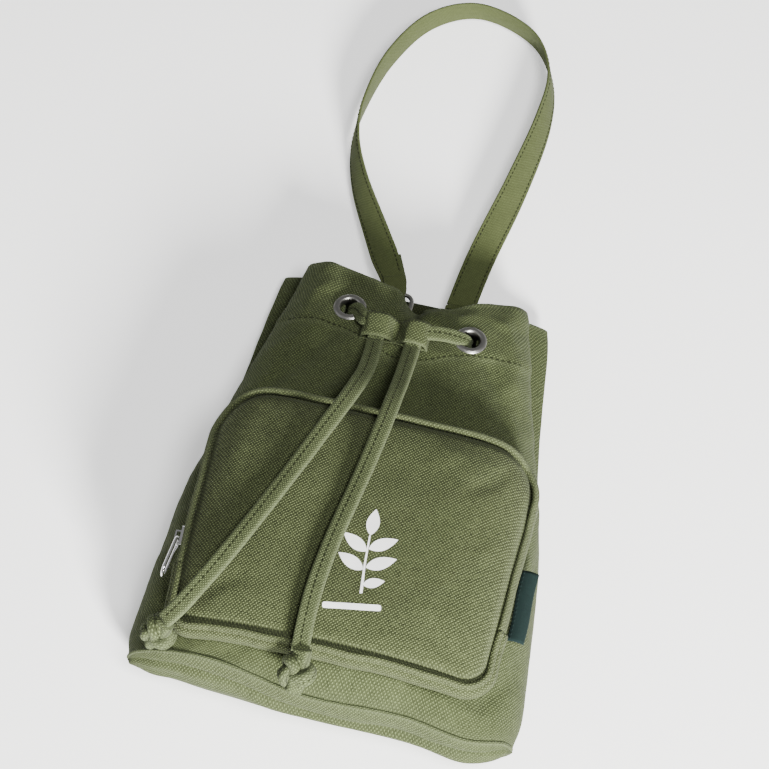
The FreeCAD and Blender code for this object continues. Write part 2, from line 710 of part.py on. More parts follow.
# ---- Strap and ring ----
def strap_frames():
    """Centre, width direction, normal and turn along the strap."""
    places = catmull([V(x, MOUTH_Y + beyond, z) for x, beyond, z, _ in STRAP_ROUTE], 5)
    turns = catmull([V(turn, 0, 0) for _, _, _, turn in STRAP_ROUTE], 5)
    count = len(places)
    widths, normals = [], []
    for index in range(count):
        tangent = places[min(index + 1, count - 1)] - places[max(index - 1, 0)]
        tangent.z = 0.0
        tangent.normalize()
        outward = V(tangent.y, -tangent.x, 0)
        turn = math.radians(turns[index].x)
        normals.append(V(0, 0, 1) * math.cos(turn) + outward * math.sin(turn))
        widths.append(outward * math.cos(turn) - V(0, 0, 1) * math.sin(turn))
    return places, widths, normals


def make_strap():
    """The strap's free run, with the eye that is folded back round the ring."""
    places, widths, normals = strap_frames()

    def width_of(share):
        return mix(STRAP_WIDTH, STRAP_EYE_WIDTH, smooth((share - 0.93) / 0.07))
    band = band_solid(places, widths, normals, width_of, STRAP_THICK)
    hole = RING_WIRE / 2.0 + GAP
    bar = V(RING_X - STRAP_EYE_WIDTH / 2.0, RING_TOP_Y, RING_Z)
    x0, x1 = RING_X - STRAP_EYE_WIDTH / 2.0, RING_X + STRAP_EYE_WIDTH / 2.0
    eye = Part.makeCylinder(hole + STRAP_EYE_WALL, STRAP_EYE_WIDTH, bar, V(1, 0, 0))
    bridge = box(x0, x1, RING_TOP_Y, RING_TOP_Y + 7.5, RING_Z + 0.4, RING_Z + hole + STRAP_EYE_WALL)
    tail = box(x0, x1, RING_TOP_Y, RING_TOP_Y + STRAP_FOLD_BACK,
               RING_Z - hole - STRAP_EYE_WALL, RING_Z - hole + 0.3)
    bore = Part.makeCylinder(hole, STRAP_EYE_WIDTH + 4.0, bar - V(2, 0, 0), V(1, 0, 0))
    return band.fuse([eye, bridge, tail]).cut(bore)


def make_strap_end():
    """The strap's other end, sewn flat on the inside of the back hem."""
    y0, y1 = STRAP_END_Y
    x0, x1 = STRAP_END_X - STRAP_WIDTH / 2.0, STRAP_END_X + STRAP_WIDTH / 2.0
    low = hem_offset(y0) + FACING + GAP
    return box(x0, x1, y0, y1, low, low + STRAP_THICK)


def make_ring():
    x0, x1 = RING_X - RING_WIDTH / 2.0, RING_X + RING_WIDTH / 2.0
    y1, y0 = RING_TOP_Y, RING_TOP_Y - RING_HEIGHT
    corners = [(x0, y1, RING_CORNER), (x1, y1, RING_CORNER), (x1, y0, RING_CORNER), (x0, y0, RING_CORNER)]
    path = rounded_outline(corners)
    path.translate(V(0, 0, RING_Z))
    edges = path.Edges
    first = edges[1]
    start = first.valueAt(first.FirstParameter)
    way = first.tangentAt(first.FirstParameter)
    profile = Part.Wire(Part.makeCircle(RING_WIRE / 2.0, start, way))
    ordered = Part.Wire(edges[1:] + edges[:1])
    return ordered.makePipeShell([profile], True, False)


def make_ring_tab():
    """Folded canvas tab, sewn inside the back hem, that holds the ring."""
    bar_y = RING_TOP_Y - RING_HEIGHT
    x0 = RING_X - TAB_WIDTH / 2.0
    hole = RING_WIRE / 2.0 + GAP / 2.0
    bar = V(x0, bar_y, RING_Z)
    eye = Part.makeCylinder(hole + TAB_EYE_WALL, TAB_WIDTH, bar, V(1, 0, 0))
    tail = box(x0, x0 + TAB_WIDTH, bar_y - TAB_TAIL, bar_y,
               RING_Z - hole - TAB_EYE_WALL, RING_Z - hole + TAB_EYE_WALL)
    bore = Part.makeCylinder(hole, TAB_WIDTH + 4.0, bar - V(2, 0, 0), V(1, 0, 0))
    return eye.fuse(tail).cut(bore)


# ---- Build list ----
PARTS = {
    "front_panel": make_front_panel,
    "back_panel": make_back_panel,
    "base_panel": make_base_panel,
    "hem_facing_front": lambda: make_hem_facing(front_point, FACING_REACH),
    "hem_facing_back": lambda: make_hem_facing(back_point, FACING_REACH),
    "eyelet_left": lambda: make_eyelet("left"),
    "eyelet_right": lambda: make_eyelet("right"),
    "eyelet_washer_left": lambda: make_eyelet_washer("left"),
    "eyelet_washer_right": lambda: make_eyelet_washer("right"),
    "drawcord_hem_run": make_hem_run,
    "drawcord_lead_left": lambda: make_lead("left"),
    "drawcord_lead_right": lambda: make_lead("right"),
    "cord_keeper": make_keeper,
    "drawcord_end_left": lambda: make_cord(CORD_LEFT_ROUTE, "left cord end"),
    "drawcord_end_right": lambda: make_cord(CORD_RIGHT_ROUTE, "right cord end"),
    "knot_left": lambda: make_knot(KNOT_LEFT, CORD_LEFT_ROUTE),
    "knot_right": lambda: make_knot(KNOT_RIGHT, CORD_RIGHT_ROUTE),
    "pocket_front": make_pocket_front,
    "pocket_zip_strip_front": lambda: zip_strip(FRONT_STRIP),
    "pocket_zip_strip_back": lambda: zip_strip(BACK_STRIP),
    "pocket_lower_gusset": make_lower_gusset,
    "zip_tapes": make_zip_tapes,
    "zip_coil": make_zip_coil,
    "zip_stops": make_zip_stops,
    "zip_slider": make_slider,
    "zip_pull": make_pull,
    "label_tab": make_label,
    "strap": make_strap,
    "strap_sewn_end": make_strap_end,
    "ring": make_ring,
    "ring_tab": make_ring_tab,
}

os.makedirs("parts", exist_ok=True)
for name, make in PARTS.items():
    shape = make()
    if len(shape.Solids) == 1:
        shape = shape.Solids[0]
    shape.exportStep("parts/" + name + ".step")
    bounds = shape.BoundBox
    print(name, len(shape.Solids), shape.isValid(), round(shape.Volume),
          "x %.1f %.1f y %.1f %.1f z %.1f %.1f" % (bounds.XMin, bounds.XMax, bounds.YMin, bounds.YMax,
                                                   bounds.ZMin, bounds.ZMax))
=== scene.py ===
import math
import bmesh
import bpy
import numpy as np
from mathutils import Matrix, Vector


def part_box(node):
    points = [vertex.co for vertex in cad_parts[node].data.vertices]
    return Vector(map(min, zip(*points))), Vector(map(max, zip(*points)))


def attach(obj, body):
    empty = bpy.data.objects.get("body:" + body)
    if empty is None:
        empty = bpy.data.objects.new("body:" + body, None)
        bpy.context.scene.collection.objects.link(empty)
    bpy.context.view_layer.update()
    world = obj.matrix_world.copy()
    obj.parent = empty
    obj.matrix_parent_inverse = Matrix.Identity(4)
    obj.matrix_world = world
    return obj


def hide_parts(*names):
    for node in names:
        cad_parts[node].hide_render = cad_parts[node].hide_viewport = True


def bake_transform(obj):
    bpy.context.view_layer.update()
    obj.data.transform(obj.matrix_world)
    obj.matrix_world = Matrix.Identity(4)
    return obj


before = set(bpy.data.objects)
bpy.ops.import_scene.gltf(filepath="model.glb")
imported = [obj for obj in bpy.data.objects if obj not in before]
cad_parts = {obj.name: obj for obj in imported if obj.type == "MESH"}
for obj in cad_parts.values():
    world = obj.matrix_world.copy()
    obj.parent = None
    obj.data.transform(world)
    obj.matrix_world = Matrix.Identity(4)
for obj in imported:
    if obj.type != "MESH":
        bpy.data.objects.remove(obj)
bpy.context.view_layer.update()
MM = 0.001

# ---------------------------------------------------------------- camera
def add_object(name, data):
    thing = bpy.data.objects.new(name, data)
    bpy.context.scene.collection.objects.link(thing)
    return thing


def aimed(name, data, place, target):
    """Camera or lamp at a place, turned to its target."""
    thing = add_object(name, data)
    thing.location = place
    thing.rotation_mode = "QUATERNION"
    thing.rotation_quaternion = (Vector(target) - Vector(place)).to_track_quat("-Z", "Y")
    return thing


camera = aimed("camera", bpy.data.cameras.new("camera"), Vector((139.2, -549.4, 1213.1)) * MM,
               Vector((-4.2, 59.9, 20.0)) * MM)
bpy.context.scene.camera = camera
camera.data.lens = 118.0
camera.data.clip_end = 20.0

# ---------------------------------------------------------------- sizes, in millimetres
BODY_LENGTH, BASE_HALF_WIDTH, MOUTH_HALF_WIDTH = 240.0, 103.0, 76.0
FRONT_TUCK, SIDE_BULGE, BASE_THICKNESS, MOUTH_THICKNESS = 12.0, 3.0, 54.0, 34.0
SEAM_HEIGHT, SIDE_FOLD, BODY_LEAN, CANVAS = 14.0, 6.0, 4.0, 1.6
MOUTH_DIP, PLEAT_DEPTH, PLEAT_X, PLEAT_WIDTH = 9.0, 8.0, 1.0, 9.0
BASE_Y, MOUTH_Y = -120.0, 120.0
CORD_WIDTH, CORD_THICK = 9.0, 3.4
STRAP_WIDTH, STRAP_THICK = 16.0, 1.8
EYELET_CUT = 6.4          # radius of the hole in the cloth under an eyelet
KNOT_STRIP = (9.6, 6.0)   # the cord as it bunches up in its knot: width, thickness
POCKET_DEPTH = 14.0
POCKET_CORNERS = [(-83.0, 26.0, 28.0), (91.5, 23.0, 27.0), (87.5, -113.5, 16.0), (-76.0, -113.5, 15.0)]
ZIP_END_Y = -80.0
CORD_LEFT_ROUTE = [
    (-12.0, 71.4, 45.7), (-10.5, 52.0, 53.5), (-13.5, 30.0, 66.0), (-20.5, 7.0, 71.5),
    (-30.5, -22.0, 73.3), (-41.8, -52.0, 74.6), (-53.5, -80.0, 73.6), (-63.0, -98.0, 70.2),
    (-69.0, -107.5, 66.2), (-75.2, -113.2, 60.0)]
CORD_RIGHT_ROUTE = [
    (8.0, 72.4, 45.4), (8.2, 52.0, 53.5), (7.8, 30.0, 66.0), (6.3, 7.0, 71.5),
    (2.4, -24.0, 73.6), (-2.8, -56.0, 75.0), (-5.4, -84.0, 75.6), (-5.4, -104.0, 75.0),
    (-4.5, -118.5, 71.6)]
KNOT_LEFT, KNOT_RIGHT = (-78.2, -116.0, 50.5), (-4.5, -126.5, 66.5)


# ---------------------------------------------------------------- materials
def socket(node, *names):
    for name in names:
        if name in node.inputs:
            return node.inputs[name]
    return None


def new_material(name):
    material = bpy.data.materials.new(name)
    material.use_nodes = True
    nodes, links = material.node_tree.nodes, material.node_tree.links
    return material, nodes, links, nodes["Principled BSDF"]


def add_node(nodes, kind, **values):
    """New shader node; each value sets the input of that name, with _ for a space."""
    node = nodes.new("ShaderNode" + kind)
    for name, value in values.items():
        node.inputs[name.replace("_", " ")].default_value = value
    return node


def cloth(name, colour, pitch=0.95, depth=0.34, heather=0.16, mottle=0.10, rough=0.95, sheen=0.03):
    """Plain weave in the piece's own cloth coordinates, with uneven yarns and a soft nap."""
    material, nodes, links, shader = new_material(name)
    uv = nodes.new("ShaderNodeUVMap")
    uv.uv_map = "cloth"

    def math_node(kind, a, b=None):
        node = nodes.new("ShaderNodeMath")
        node.operation = kind
        for index, value in enumerate((a, b)):
            if value is None:
                continue
            if isinstance(value, (int, float)):
                node.inputs[index].default_value = value
            else:
                links.new(value, node.inputs[index])
        return node.outputs[0]

    def noise(scale, stretch=(1, 1, 1), detail=2.0):
        mapping = add_node(nodes, "Mapping", Scale=stretch)
        links.new(uv.outputs[0], mapping.inputs[0])
        node = add_node(nodes, "TexNoise", Scale=scale, Detail=detail)
        links.new(mapping.outputs[0], node.inputs["Vector"])
        return node.outputs["Fac"]

    # Yarns: two sets of rounded ribs that pass over and under each other.
    wander = nodes.new("ShaderNodeVectorMath")
    wander.operation = "MULTIPLY_ADD"
    drift = add_node(nodes, "TexNoise", Scale=260.0, Detail=1.0)
    links.new(uv.outputs[0], drift.inputs["Vector"])
    links.new(drift.outputs["Color"], wander.inputs[0])
    wander.inputs[1].default_value = (pitch * MM * 0.9, pitch * MM * 0.9, 0)
    links.new(uv.outputs[0], wander.inputs[2])
    split = nodes.new("ShaderNodeSeparateXYZ")
    links.new(wander.outputs[0], split.inputs[0])
    turns = 2.0 * math.pi / (pitch * MM)
    along_u, along_v = math_node("MULTIPLY", split.outputs[0], turns), math_node("MULTIPLY", split.outputs[1], turns)
    wave_u, wave_v = [math_node("SINE", math_node("MULTIPLY", value, 0.5)) for value in (along_u, along_v)]
    rib_u, rib_v = math_node("ABSOLUTE", wave_u), math_node("ABSOLUTE", wave_v)
    over = math_node("MULTIPLY", wave_u, wave_v)
    knit = math_node("ADD", math_node("MULTIPLY", rib_u, rib_v), math_node("MULTIPLY", over, 0.9))
    slub_u = noise(1150.0, (0.2, 1.0, 1.0), 1.5)
    slub_v = noise(1150.0, (1.0, 0.2, 1.0), 1.5)
    yarn = math_node("ADD", slub_u, slub_v)
    height = math_node("ADD", math_node("MULTIPLY", knit, 0.7), math_node("MULTIPLY", yarn, 0.55))
    bump = add_node(nodes, "Bump", Strength=0.95, Distance=depth * MM)
    links.new(height, bump.inputs["Height"])
    crumple = add_node(nodes, "Bump", Strength=0.35, Distance=1.1 * MM)
    links.new(noise(85.0, (1, 1, 1), 4.0), crumple.inputs["Height"])
    links.new(crumple.outputs[0], bump.inputs["Normal"])
    links.new(bump.outputs[0], shader.inputs["Normal"])

    # Colour: yarn to yarn, patch to patch, and paler where folds and seams have rubbed.
    tone = math_node("ADD", math_node("MULTIPLY", math_node("SUBTRACT", yarn, 1.0), heather * 4.0),
                     math_node("MULTIPLY", math_node("SUBTRACT", knit, 0.40), heather * 5.5))
    patch = math_node("MULTIPLY", math_node("SUBTRACT", noise(38.0, (1, 1, 1), 5.0), 0.5), mottle * 2.0)
    total = math_node("ADD", math_node("ADD", tone, patch), 1.0)
    base = nodes.new("ShaderNodeMix")
    base.data_type = "RGBA"
    base.blend_type = "MULTIPLY"
    base.inputs["Factor"].default_value = 1.0
    base.inputs["A"].default_value = (*colour, 1.0)
    links.new(total, base.inputs["B"])
    worn = nodes.new("ShaderNodeMix")
    worn.data_type = "RGBA"
    worn.blend_type = "MIX"
    pale = [min(c * 1.5 + 0.02, 1.0) for c in colour]
    worn.inputs["B"].default_value = (*pale, 1.0)
    links.new(base.outputs["Result"], worn.inputs["A"])
    wear = nodes.new("ShaderNodeAttribute")
    wear.attribute_name = "wear"
    rub = math_node("MULTIPLY", wear.outputs["Fac"], math_node("ADD", noise(420.0, (1, 1, 1), 3.0), 0.15))
    links.new(rub, worn.inputs["Factor"])
    links.new(worn.outputs["Result"], shader.inputs["Base Color"])
    shader.inputs["Roughness"].default_value = rough
    socket(shader, "Sheen Weight", "Sheen").default_value = sheen
    socket(shader, "Sheen Roughness").default_value = 0.45
    socket(shader, "Specular IOR Level", "Specular").default_value = 0.10
    return material


def metal(name, colour, rough, grain=0.0):
    material, nodes, links, shader = new_material(name)
    coords = nodes.new("ShaderNodeTexCoord")
    smudge = add_node(nodes, "TexNoise", Scale=900.0, Detail=3.0)
    links.new(coords.outputs["Object"], smudge.inputs["Vector"])
    spread_rough = add_node(nodes, "MapRange", To_Min=rough * 0.75, To_Max=rough * 1.35)
    links.new(smudge.outputs["Fac"], spread_rough.inputs["Value"])
    links.new(spread_rough.outputs["Result"], shader.inputs["Roughness"])
    bump = add_node(nodes, "Bump", Strength=0.2, Distance=grain * MM)
    links.new(smudge.outputs["Fac"], bump.inputs["Height"])
    links.new(bump.outputs[0], shader.inputs["Normal"])
    shader.inputs["Base Color"].default_value = (*colour, 1.0)
    shader.inputs["Metallic"].default_value = 1.0
    return material


OLIVE = (0.052, 0.064, 0.027)
canvas = cloth("canvas_olive", OLIVE)
canvas_pocket = cloth("canvas_pocket", (0.054, 0.065, 0.028), heather=0.20)
# The body canvas darkened for the faces inside the bag: painted shade of the shadowed inside of the bag.
canvas_inside_painted_shade = cloth("canvas_inside_painted_shade", (0.024, 0.029, 0.012), heather=0.12)
strap_cloth = cloth("strap_cloth", (0.056, 0.068, 0.026), pitch=0.62, depth=0.14, heather=0.07)
cord_cloth = cloth("cord_cloth", (0.062, 0.076, 0.034), pitch=0.85, depth=0.26, heather=0.16, mottle=0.14)
# Stitch thread darkened well below the canvas colour: painted shade of the needle holes along each row of stitches.
thread_painted_shade = cloth("thread_painted_shade", (0.018, 0.022, 0.009), pitch=0.25, depth=0.06, heather=0.10)
label_cloth = cloth("label_cloth", (0.007, 0.015, 0.014), pitch=0.35, depth=0.06, heather=0.08, sheen=0.02)
tape_cloth = cloth("tape_cloth", (0.045, 0.054, 0.022), pitch=0.4, depth=0.08)
coil_cloth = cloth("coil_cloth", (0.060, 0.070, 0.032), pitch=0.4, depth=0.05, rough=0.6)
print_ink = cloth("print_ink", (0.85, 0.85, 0.84), pitch=0.62, depth=0.05, heather=0.012, mottle=0.04, rough=0.7)
nickel = metal("brushed_nickel", (0.27, 0.265, 0.25), 0.34, 0.05)
chrome = metal("bright_metal", (0.78, 0.78, 0.78), 0.13, 0.01)


# ---------------------------------------------------------------- mesh tools
def piece(name, points, faces, uvs, material, wear=None):
    """Mesh object from points in millimetres, with cloth coordinates in metres."""
    mesh = bpy.data.meshes.new(name)
    mesh.from_pydata((np.asarray(points, float) * MM).tolist(), [], [list(f) for f in faces])
    layer = mesh.uv_layers.new(name="cloth")
    corner = np.empty(len(mesh.loops), int)
    mesh.loops.foreach_get("vertex_index", corner)
    layer.data.foreach_set("uv", (np.asarray(uvs, float)[corner] * MM).ravel())
    rubbed = mesh.attributes.new("wear", "FLOAT", "POINT")
    rubbed.data.foreach_set("value", np.zeros(len(mesh.vertices)) if wear is None else np.asarray(wear, float))
    mesh.materials.append(material)
    mesh.polygons.foreach_set("use_smooth", [True] * len(mesh.polygons))
    mesh.update()
    thing = add_object(name, mesh)
    return thing


def smooth(t):
    t = np.clip(t, 0.0, 1.0)
    return t * t * (3.0 - 2.0 * t)


def mix(a, b, t):
    return a + (b - a) * t


def hill(offset, width):
    """1 at offset 0, falling away smoothly to both sides over about the width."""
    return np.exp(-(offset / width) ** 2)


def box_mm(node):
    """Lowest and highest corners of a CAD node at rest, in millimetres."""
    return [np.array(corner[:]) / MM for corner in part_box(node)]


def upright(count):
    return np.tile((0.0, 0.0, 1.0), (count, 1))


def dress(node, material):
    """Gives a CAD node that stays visible its material."""
    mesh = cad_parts[node].data
    mesh.materials.clear()
    mesh.materials.append(material)


def grid_faces(rows, columns, close_rows=False, close_columns=False, start=0):
    faces = []
    for r in range(rows if close_rows else rows - 1):
        for c in range(columns if close_columns else columns - 1):
            a, b = r * columns + c, r * columns + (c + 1) % columns
            d = ((r + 1) % rows) * columns + c
            e = ((r + 1) % rows) * columns + (c + 1) % columns
            faces.append((start + a, start + b, start + e, start + d))
    return faces


def end_caps(size, count, start=0):
    """Faces that close the first and the last of count rings."""
    last = start + size * (count - 1)
    return [tuple(range(start, start + size))[::-1], tuple(range(last, last + size))]


def run_length(points):
    """Distance along a line at each of its points."""
    return np.concatenate([[0], np.cumsum(np.linalg.norm(np.diff(points, axis=0), axis=1))])


def unit(v):
    v = np.asarray(v, float)
    return v / np.maximum(np.linalg.norm(v, axis=-1, keepdims=True), 1e-9)


def grid_normals(grid):
    return unit(np.cross(np.gradient(grid, axis=1), np.gradient(grid, axis=0)))


def facing_normals(grid, out=(0, 0, 1)):
    """Normals of a grid, turned so that the one in its middle faces out."""
    normals = grid_normals(grid)
    return -normals if normals[grid.shape[0] // 2, grid.shape[1] // 2].dot(out) < 0 else normals


def tangents_of(path):
    return unit(np.gradient(path, axis=0))


def grid_uv(grid):
    across = np.zeros(grid.shape[:2])
    across[:, 1:] = np.cumsum(np.linalg.norm(np.diff(grid, axis=1), axis=2), axis=1)
    across -= across[:, -1:] / 2.0
    up = np.zeros(grid.shape[:2])
    up[1:] = np.cumsum(np.linalg.norm(np.diff(grid, axis=0), axis=2), axis=0)
    return np.stack([across, np.broadcast_to(up.mean(1, keepdims=True), up.shape)], -1)


def cloth_layer(name, grid, thick, material, inside=None, wear=None, lip=5, out=(0, 0, 1)):
    """Closed layer of cloth under an outer grid that faces out, its last row rolled over as a rounded edge."""
    normals = facing_normals(grid, out)
    depth = np.broadcast_to(np.asarray(thick, float), grid.shape[:2])[..., None]
    rows = [grid]
    edge, half = grid[-1], depth[-1] / 2.0
    outwards = unit(grid[-1] - grid[-2])
    for k in range(1, lip + 1):
        angle = math.pi * k / (lip + 1)
        rows.append((edge - normals[-1] * half + normals[-1] * half * math.cos(angle)
                     + outwards * half * math.sin(angle))[None])
    rows.append((grid - normals * depth)[::-1])
    points = np.concatenate(rows)
    base_uv = grid_uv(grid)
    lip_uv = np.repeat(base_uv[-1:], lip, 0)
    lip_uv[..., 1] += np.linspace(0.4, 1.5, lip)[:, None]
    uv = np.concatenate([base_uv, lip_uv, base_uv[::-1]])
    worn = np.zeros(grid.shape[:2]) if wear is None else wear
    worn = np.concatenate([worn, np.ones((lip, grid.shape[1])) * 0.8, worn[::-1] * 0.3])
    count, columns = points.shape[:2]
    faces = grid_faces(count, columns, close_rows=True)
    left = [r * columns for r in range(count)]
    right = [r * columns + columns - 1 for r in range(count)]
    n = grid.shape[0]
    for side, flip in ((left, False), (right, True)):
        for r in range(n - 1):
            quad = (side[r], side[r + 1], side[count - 2 - r], side[count - 1 - r])
            faces.append(quad[::-1] if flip else quad)
        faces.append(tuple(side[n - 1:count - n + 1]))
    made = piece(name, points.reshape(-1, 3), faces, uv.reshape(-1, 2), material, worn.ravel())
    # The faces past the rolled edge take the second material; for the body that is the darkened canvas, painted shade
    # of the bag's inside.
    if inside:
        made.data.materials.append(inside)
        turn = (n + lip // 2) * columns
        for polygon in made.data.polygons:
            if min(polygon.vertices) >= turn:
                polygon.material_index = 1
    return made


def section_flat(width, thick, groove=0.0, count=28, edge=0.42):
    """Outline of a flat folded strip: rounded edges, and a shallow groove along the middle of its top."""
    out = []
    for k in range(count):
        angle = 2.0 * math.pi * k / count
        w = math.copysign(abs(math.cos(angle)) ** edge, math.cos(angle)) * width / 2.0
        n = math.copysign(abs(math.sin(angle)) ** (edge + 0.2), math.sin(angle)) * thick / 2.0
        if n > 0:
            n -= groove * math.exp(-(w / (width * 0.09)) ** 2)
        out.append((w, n))
    return np.array(out)


def path_frames(path, up):
    """Tangents, side directions and normals along a path; up is one vector or one for each point."""
    path = np.asarray(path, float)
    tangents = tangents_of(path)
    ups = np.broadcast_to(np.asarray(up, float), path.shape)
    sides = unit(np.cross(tangents, ups))
    return tangents, sides, np.cross(sides, tangents)


def swept(name, path, sides, normals, section_of, material, wear=None, close=False):
    """Section swept along a path; section_of(share) gives its outline as (side, normal) pairs."""
    count = len(path)
    rings = []
    for index in range(count):
        outline = section_of(index / (count - 1))
        rings.append(path[index] + outline[:, :1] * sides[index] + outline[:, 1:] * normals[index])
    rings = np.array(rings)
    m = rings.shape[1]
    outline = section_of(0.5)
    uv = np.stack(np.meshgrid(run_length(outline), run_length(path)), -1)
    faces = grid_faces(count, m, close_rows=close, close_columns=True)
    points, uvs = rings.reshape(-1, 3), uv.reshape(-1, 2)
    if not close:
        faces += end_caps(m, count)
    worn = None if wear is None else np.tile(wear(outline), count)
    return piece(name, points, faces, uvs, material, worn)


def resample(points, step):
    points = np.asarray(points, float)
    length = run_length(points)
    at = np.linspace(0, length[-1], max(int(round(length[-1] / step)), 2) + 1)
    return np.stack([np.interp(at, length, points[:, k]) for k in range(points.shape[1])], 1)


def stitches(name, line, normals, material, pitch=3.1, length=2.1, radius=0.34, sink=0.12, lean=0.0):
    """Row of thread stitches along a line of points that lie on the cloth."""
    both = np.concatenate([np.asarray(line, float), np.asarray(normals, float)], 1)
    cut = resample(both, pitch)
    points, faces, uvs = [], [], []
    profile = [(-0.5, 0.25), (-0.42, 0.8), (-0.2, 1.0), (0.2, 1.0), (0.42, 0.8), (0.5, 0.25)]
    for a, b in zip(cut, cut[1:]):
        centre, way, up = (a[:3] + b[:3]) / 2.0, unit(b[:3] - a[:3]), unit(a[3:] + b[3:])
        side = unit(np.cross(way, up))
        way = unit(way + side * lean)
        side = unit(np.cross(way, up))
        start = len(points)
        for t, scale in profile:
            lift = radius * (1.0 - 4.0 * t * t) - sink
            for k in range(6):
                angle = math.pi * k / 3.0
                points.append(centre + way * (length * t) + side * (radius * scale * math.cos(angle))
                              + up * (radius * scale * math.sin(angle) + lift * 0.5))
                uvs.append((k * 0.3, t * length))
        faces += grid_faces(len(profile), 6, close_columns=True, start=start)
        faces += end_caps(6, len(profile), start)
    return piece(name, points, faces, uvs, material)


def lathe(name, profile, centre, normal, material, count=64):
    """Ring turned about an axis; profile is a closed list of (radius, height)."""
    normal = unit(normal)
    side = unit(np.cross(normal, (0.0, 1.0, 0.3)))
    other = np.cross(normal, side)
    points, uvs = [], []
    for k in range(count):
        angle = 2.0 * math.pi * k / count
        ray = side * math.cos(angle) + other * math.sin(angle)
        for radius, height in profile:
            points.append(np.asarray(centre) + ray * radius + normal * height)
            uvs.append((angle * radius, height))
    return piece(name, points, grid_faces(count, len(profile), True, True), uvs, material, None)


def soft_noise(x, y, scale, seed, octaves=2):
    """Smooth wandering value near -1..1 from a fixed set of waves."""
    random = np.random.default_rng(seed)
    total = 0.0
    for octave in range(octaves):
        size = scale / 2 ** octave
        for _ in range(7):
            angle, phase = random.uniform(0, 2 * math.pi, 2)
            k = 2 * math.pi / (size * random.uniform(0.8, 1.9))
            total = total + 0.5 ** octave * np.sin(k * (x * math.cos(angle) + y * math.sin(angle)) + phase)
    return total / 5.0


def folds(x, y, creases):
    """Sum of soft ridges and valleys, each (x0, y0, x1, y1, width, height)."""
    total = np.zeros(np.broadcast(x, y).shape)
    for x0, y0, x1, y1, width, height in creases:
        dx, dy = x1 - x0, y1 - y0
        span = dx * dx + dy * dy
        t = ((x - x0) * dx + (y - y0) * dy) / span
        bend = 0.08 * math.sqrt(span) * np.sin(np.pi * np.clip(t, 0, 1))
        off = ((x - x0) * dy - (y - y0) * dx) / math.sqrt(span) + bend
        reach = np.clip(np.minimum(t + 0.12, 1.12 - t) / 0.3, 0, 1)
        total += height * hill(off, width) * reach * reach * (3 - 2 * reach)
    return total


def ridden(thing, body, *nodes):
    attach(thing, body)
    if nodes:
        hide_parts(*nodes)
    return thing


# ---------------------------------------------------------------- drawcord ends
def route_path(name, route):
    """Points along the smooth curve that has the route's points as its control points."""
    curve = bpy.data.curves.new(name, "CURVE")
    curve.dimensions = "3D"
    curve.resolution_u = 14
    spline = curve.splines.new("NURBS")
    spline.points.add(len(route) - 1)
    for point, place in zip(spline.points, route):
        point.co = (*(c * MM for c in place), 1.0)
    spline.order_u = 3
    spline.use_endpoint_u = True
    holder = add_object(name, curve)
    bpy.context.view_layer.update()
    mesh = bpy.data.meshes.new_from_object(holder)
    path = np.array([v.co[:] for v in mesh.vertices]) / MM
    bpy.data.objects.remove(holder)
    bpy.data.meshes.remove(mesh)
    return path


def cord_wear(outline):
    return 0.55 * np.clip(np.abs(outline[:, 0]) / (CORD_WIDTH / 2.0) * 1.8 - 0.9, 0, 1)


def cord_strip(name, path, twist=0.0):
    """Flat strip of folded canvas, sewn along its middle."""
    path = resample(path, 1.4)
    _, sides, normals = path_frames(path, (0, 0, 1))
    share = np.linspace(0, 1, len(path))
    angle = (math.radians(twist) * np.sin(share * 7.0 + 0.6) * np.sin(np.pi * share))[:, None]
    sides, normals = (sides * np.cos(angle) + normals * np.sin(angle),
                      normals * np.cos(angle) - sides * np.sin(angle))
    waver = soft_noise(share * 200.0, 0 * share, 26.0, len(path)) * 0.22

    def section(t):
        index = int(round(t * (len(path) - 1)))
        outline = section_flat(CORD_WIDTH + waver[index], CORD_THICK - 0.5 * waver[index], 0.55)
        outline[:, 1] -= 0.25 * (outline[:, 0] / 4.5) ** 2
        return outline
    strip = swept(name, path, sides, normals, section, cord_cloth, cord_wear)
    line = path + normals * (CORD_THICK / 2.0 - 0.35) + sides * 0.3
    sewn = stitches(name + "_stitching", line[2:-2], normals[2:-2], thread_painted_shade, 2.9, 1.9, 0.33)
    return strip, sewn


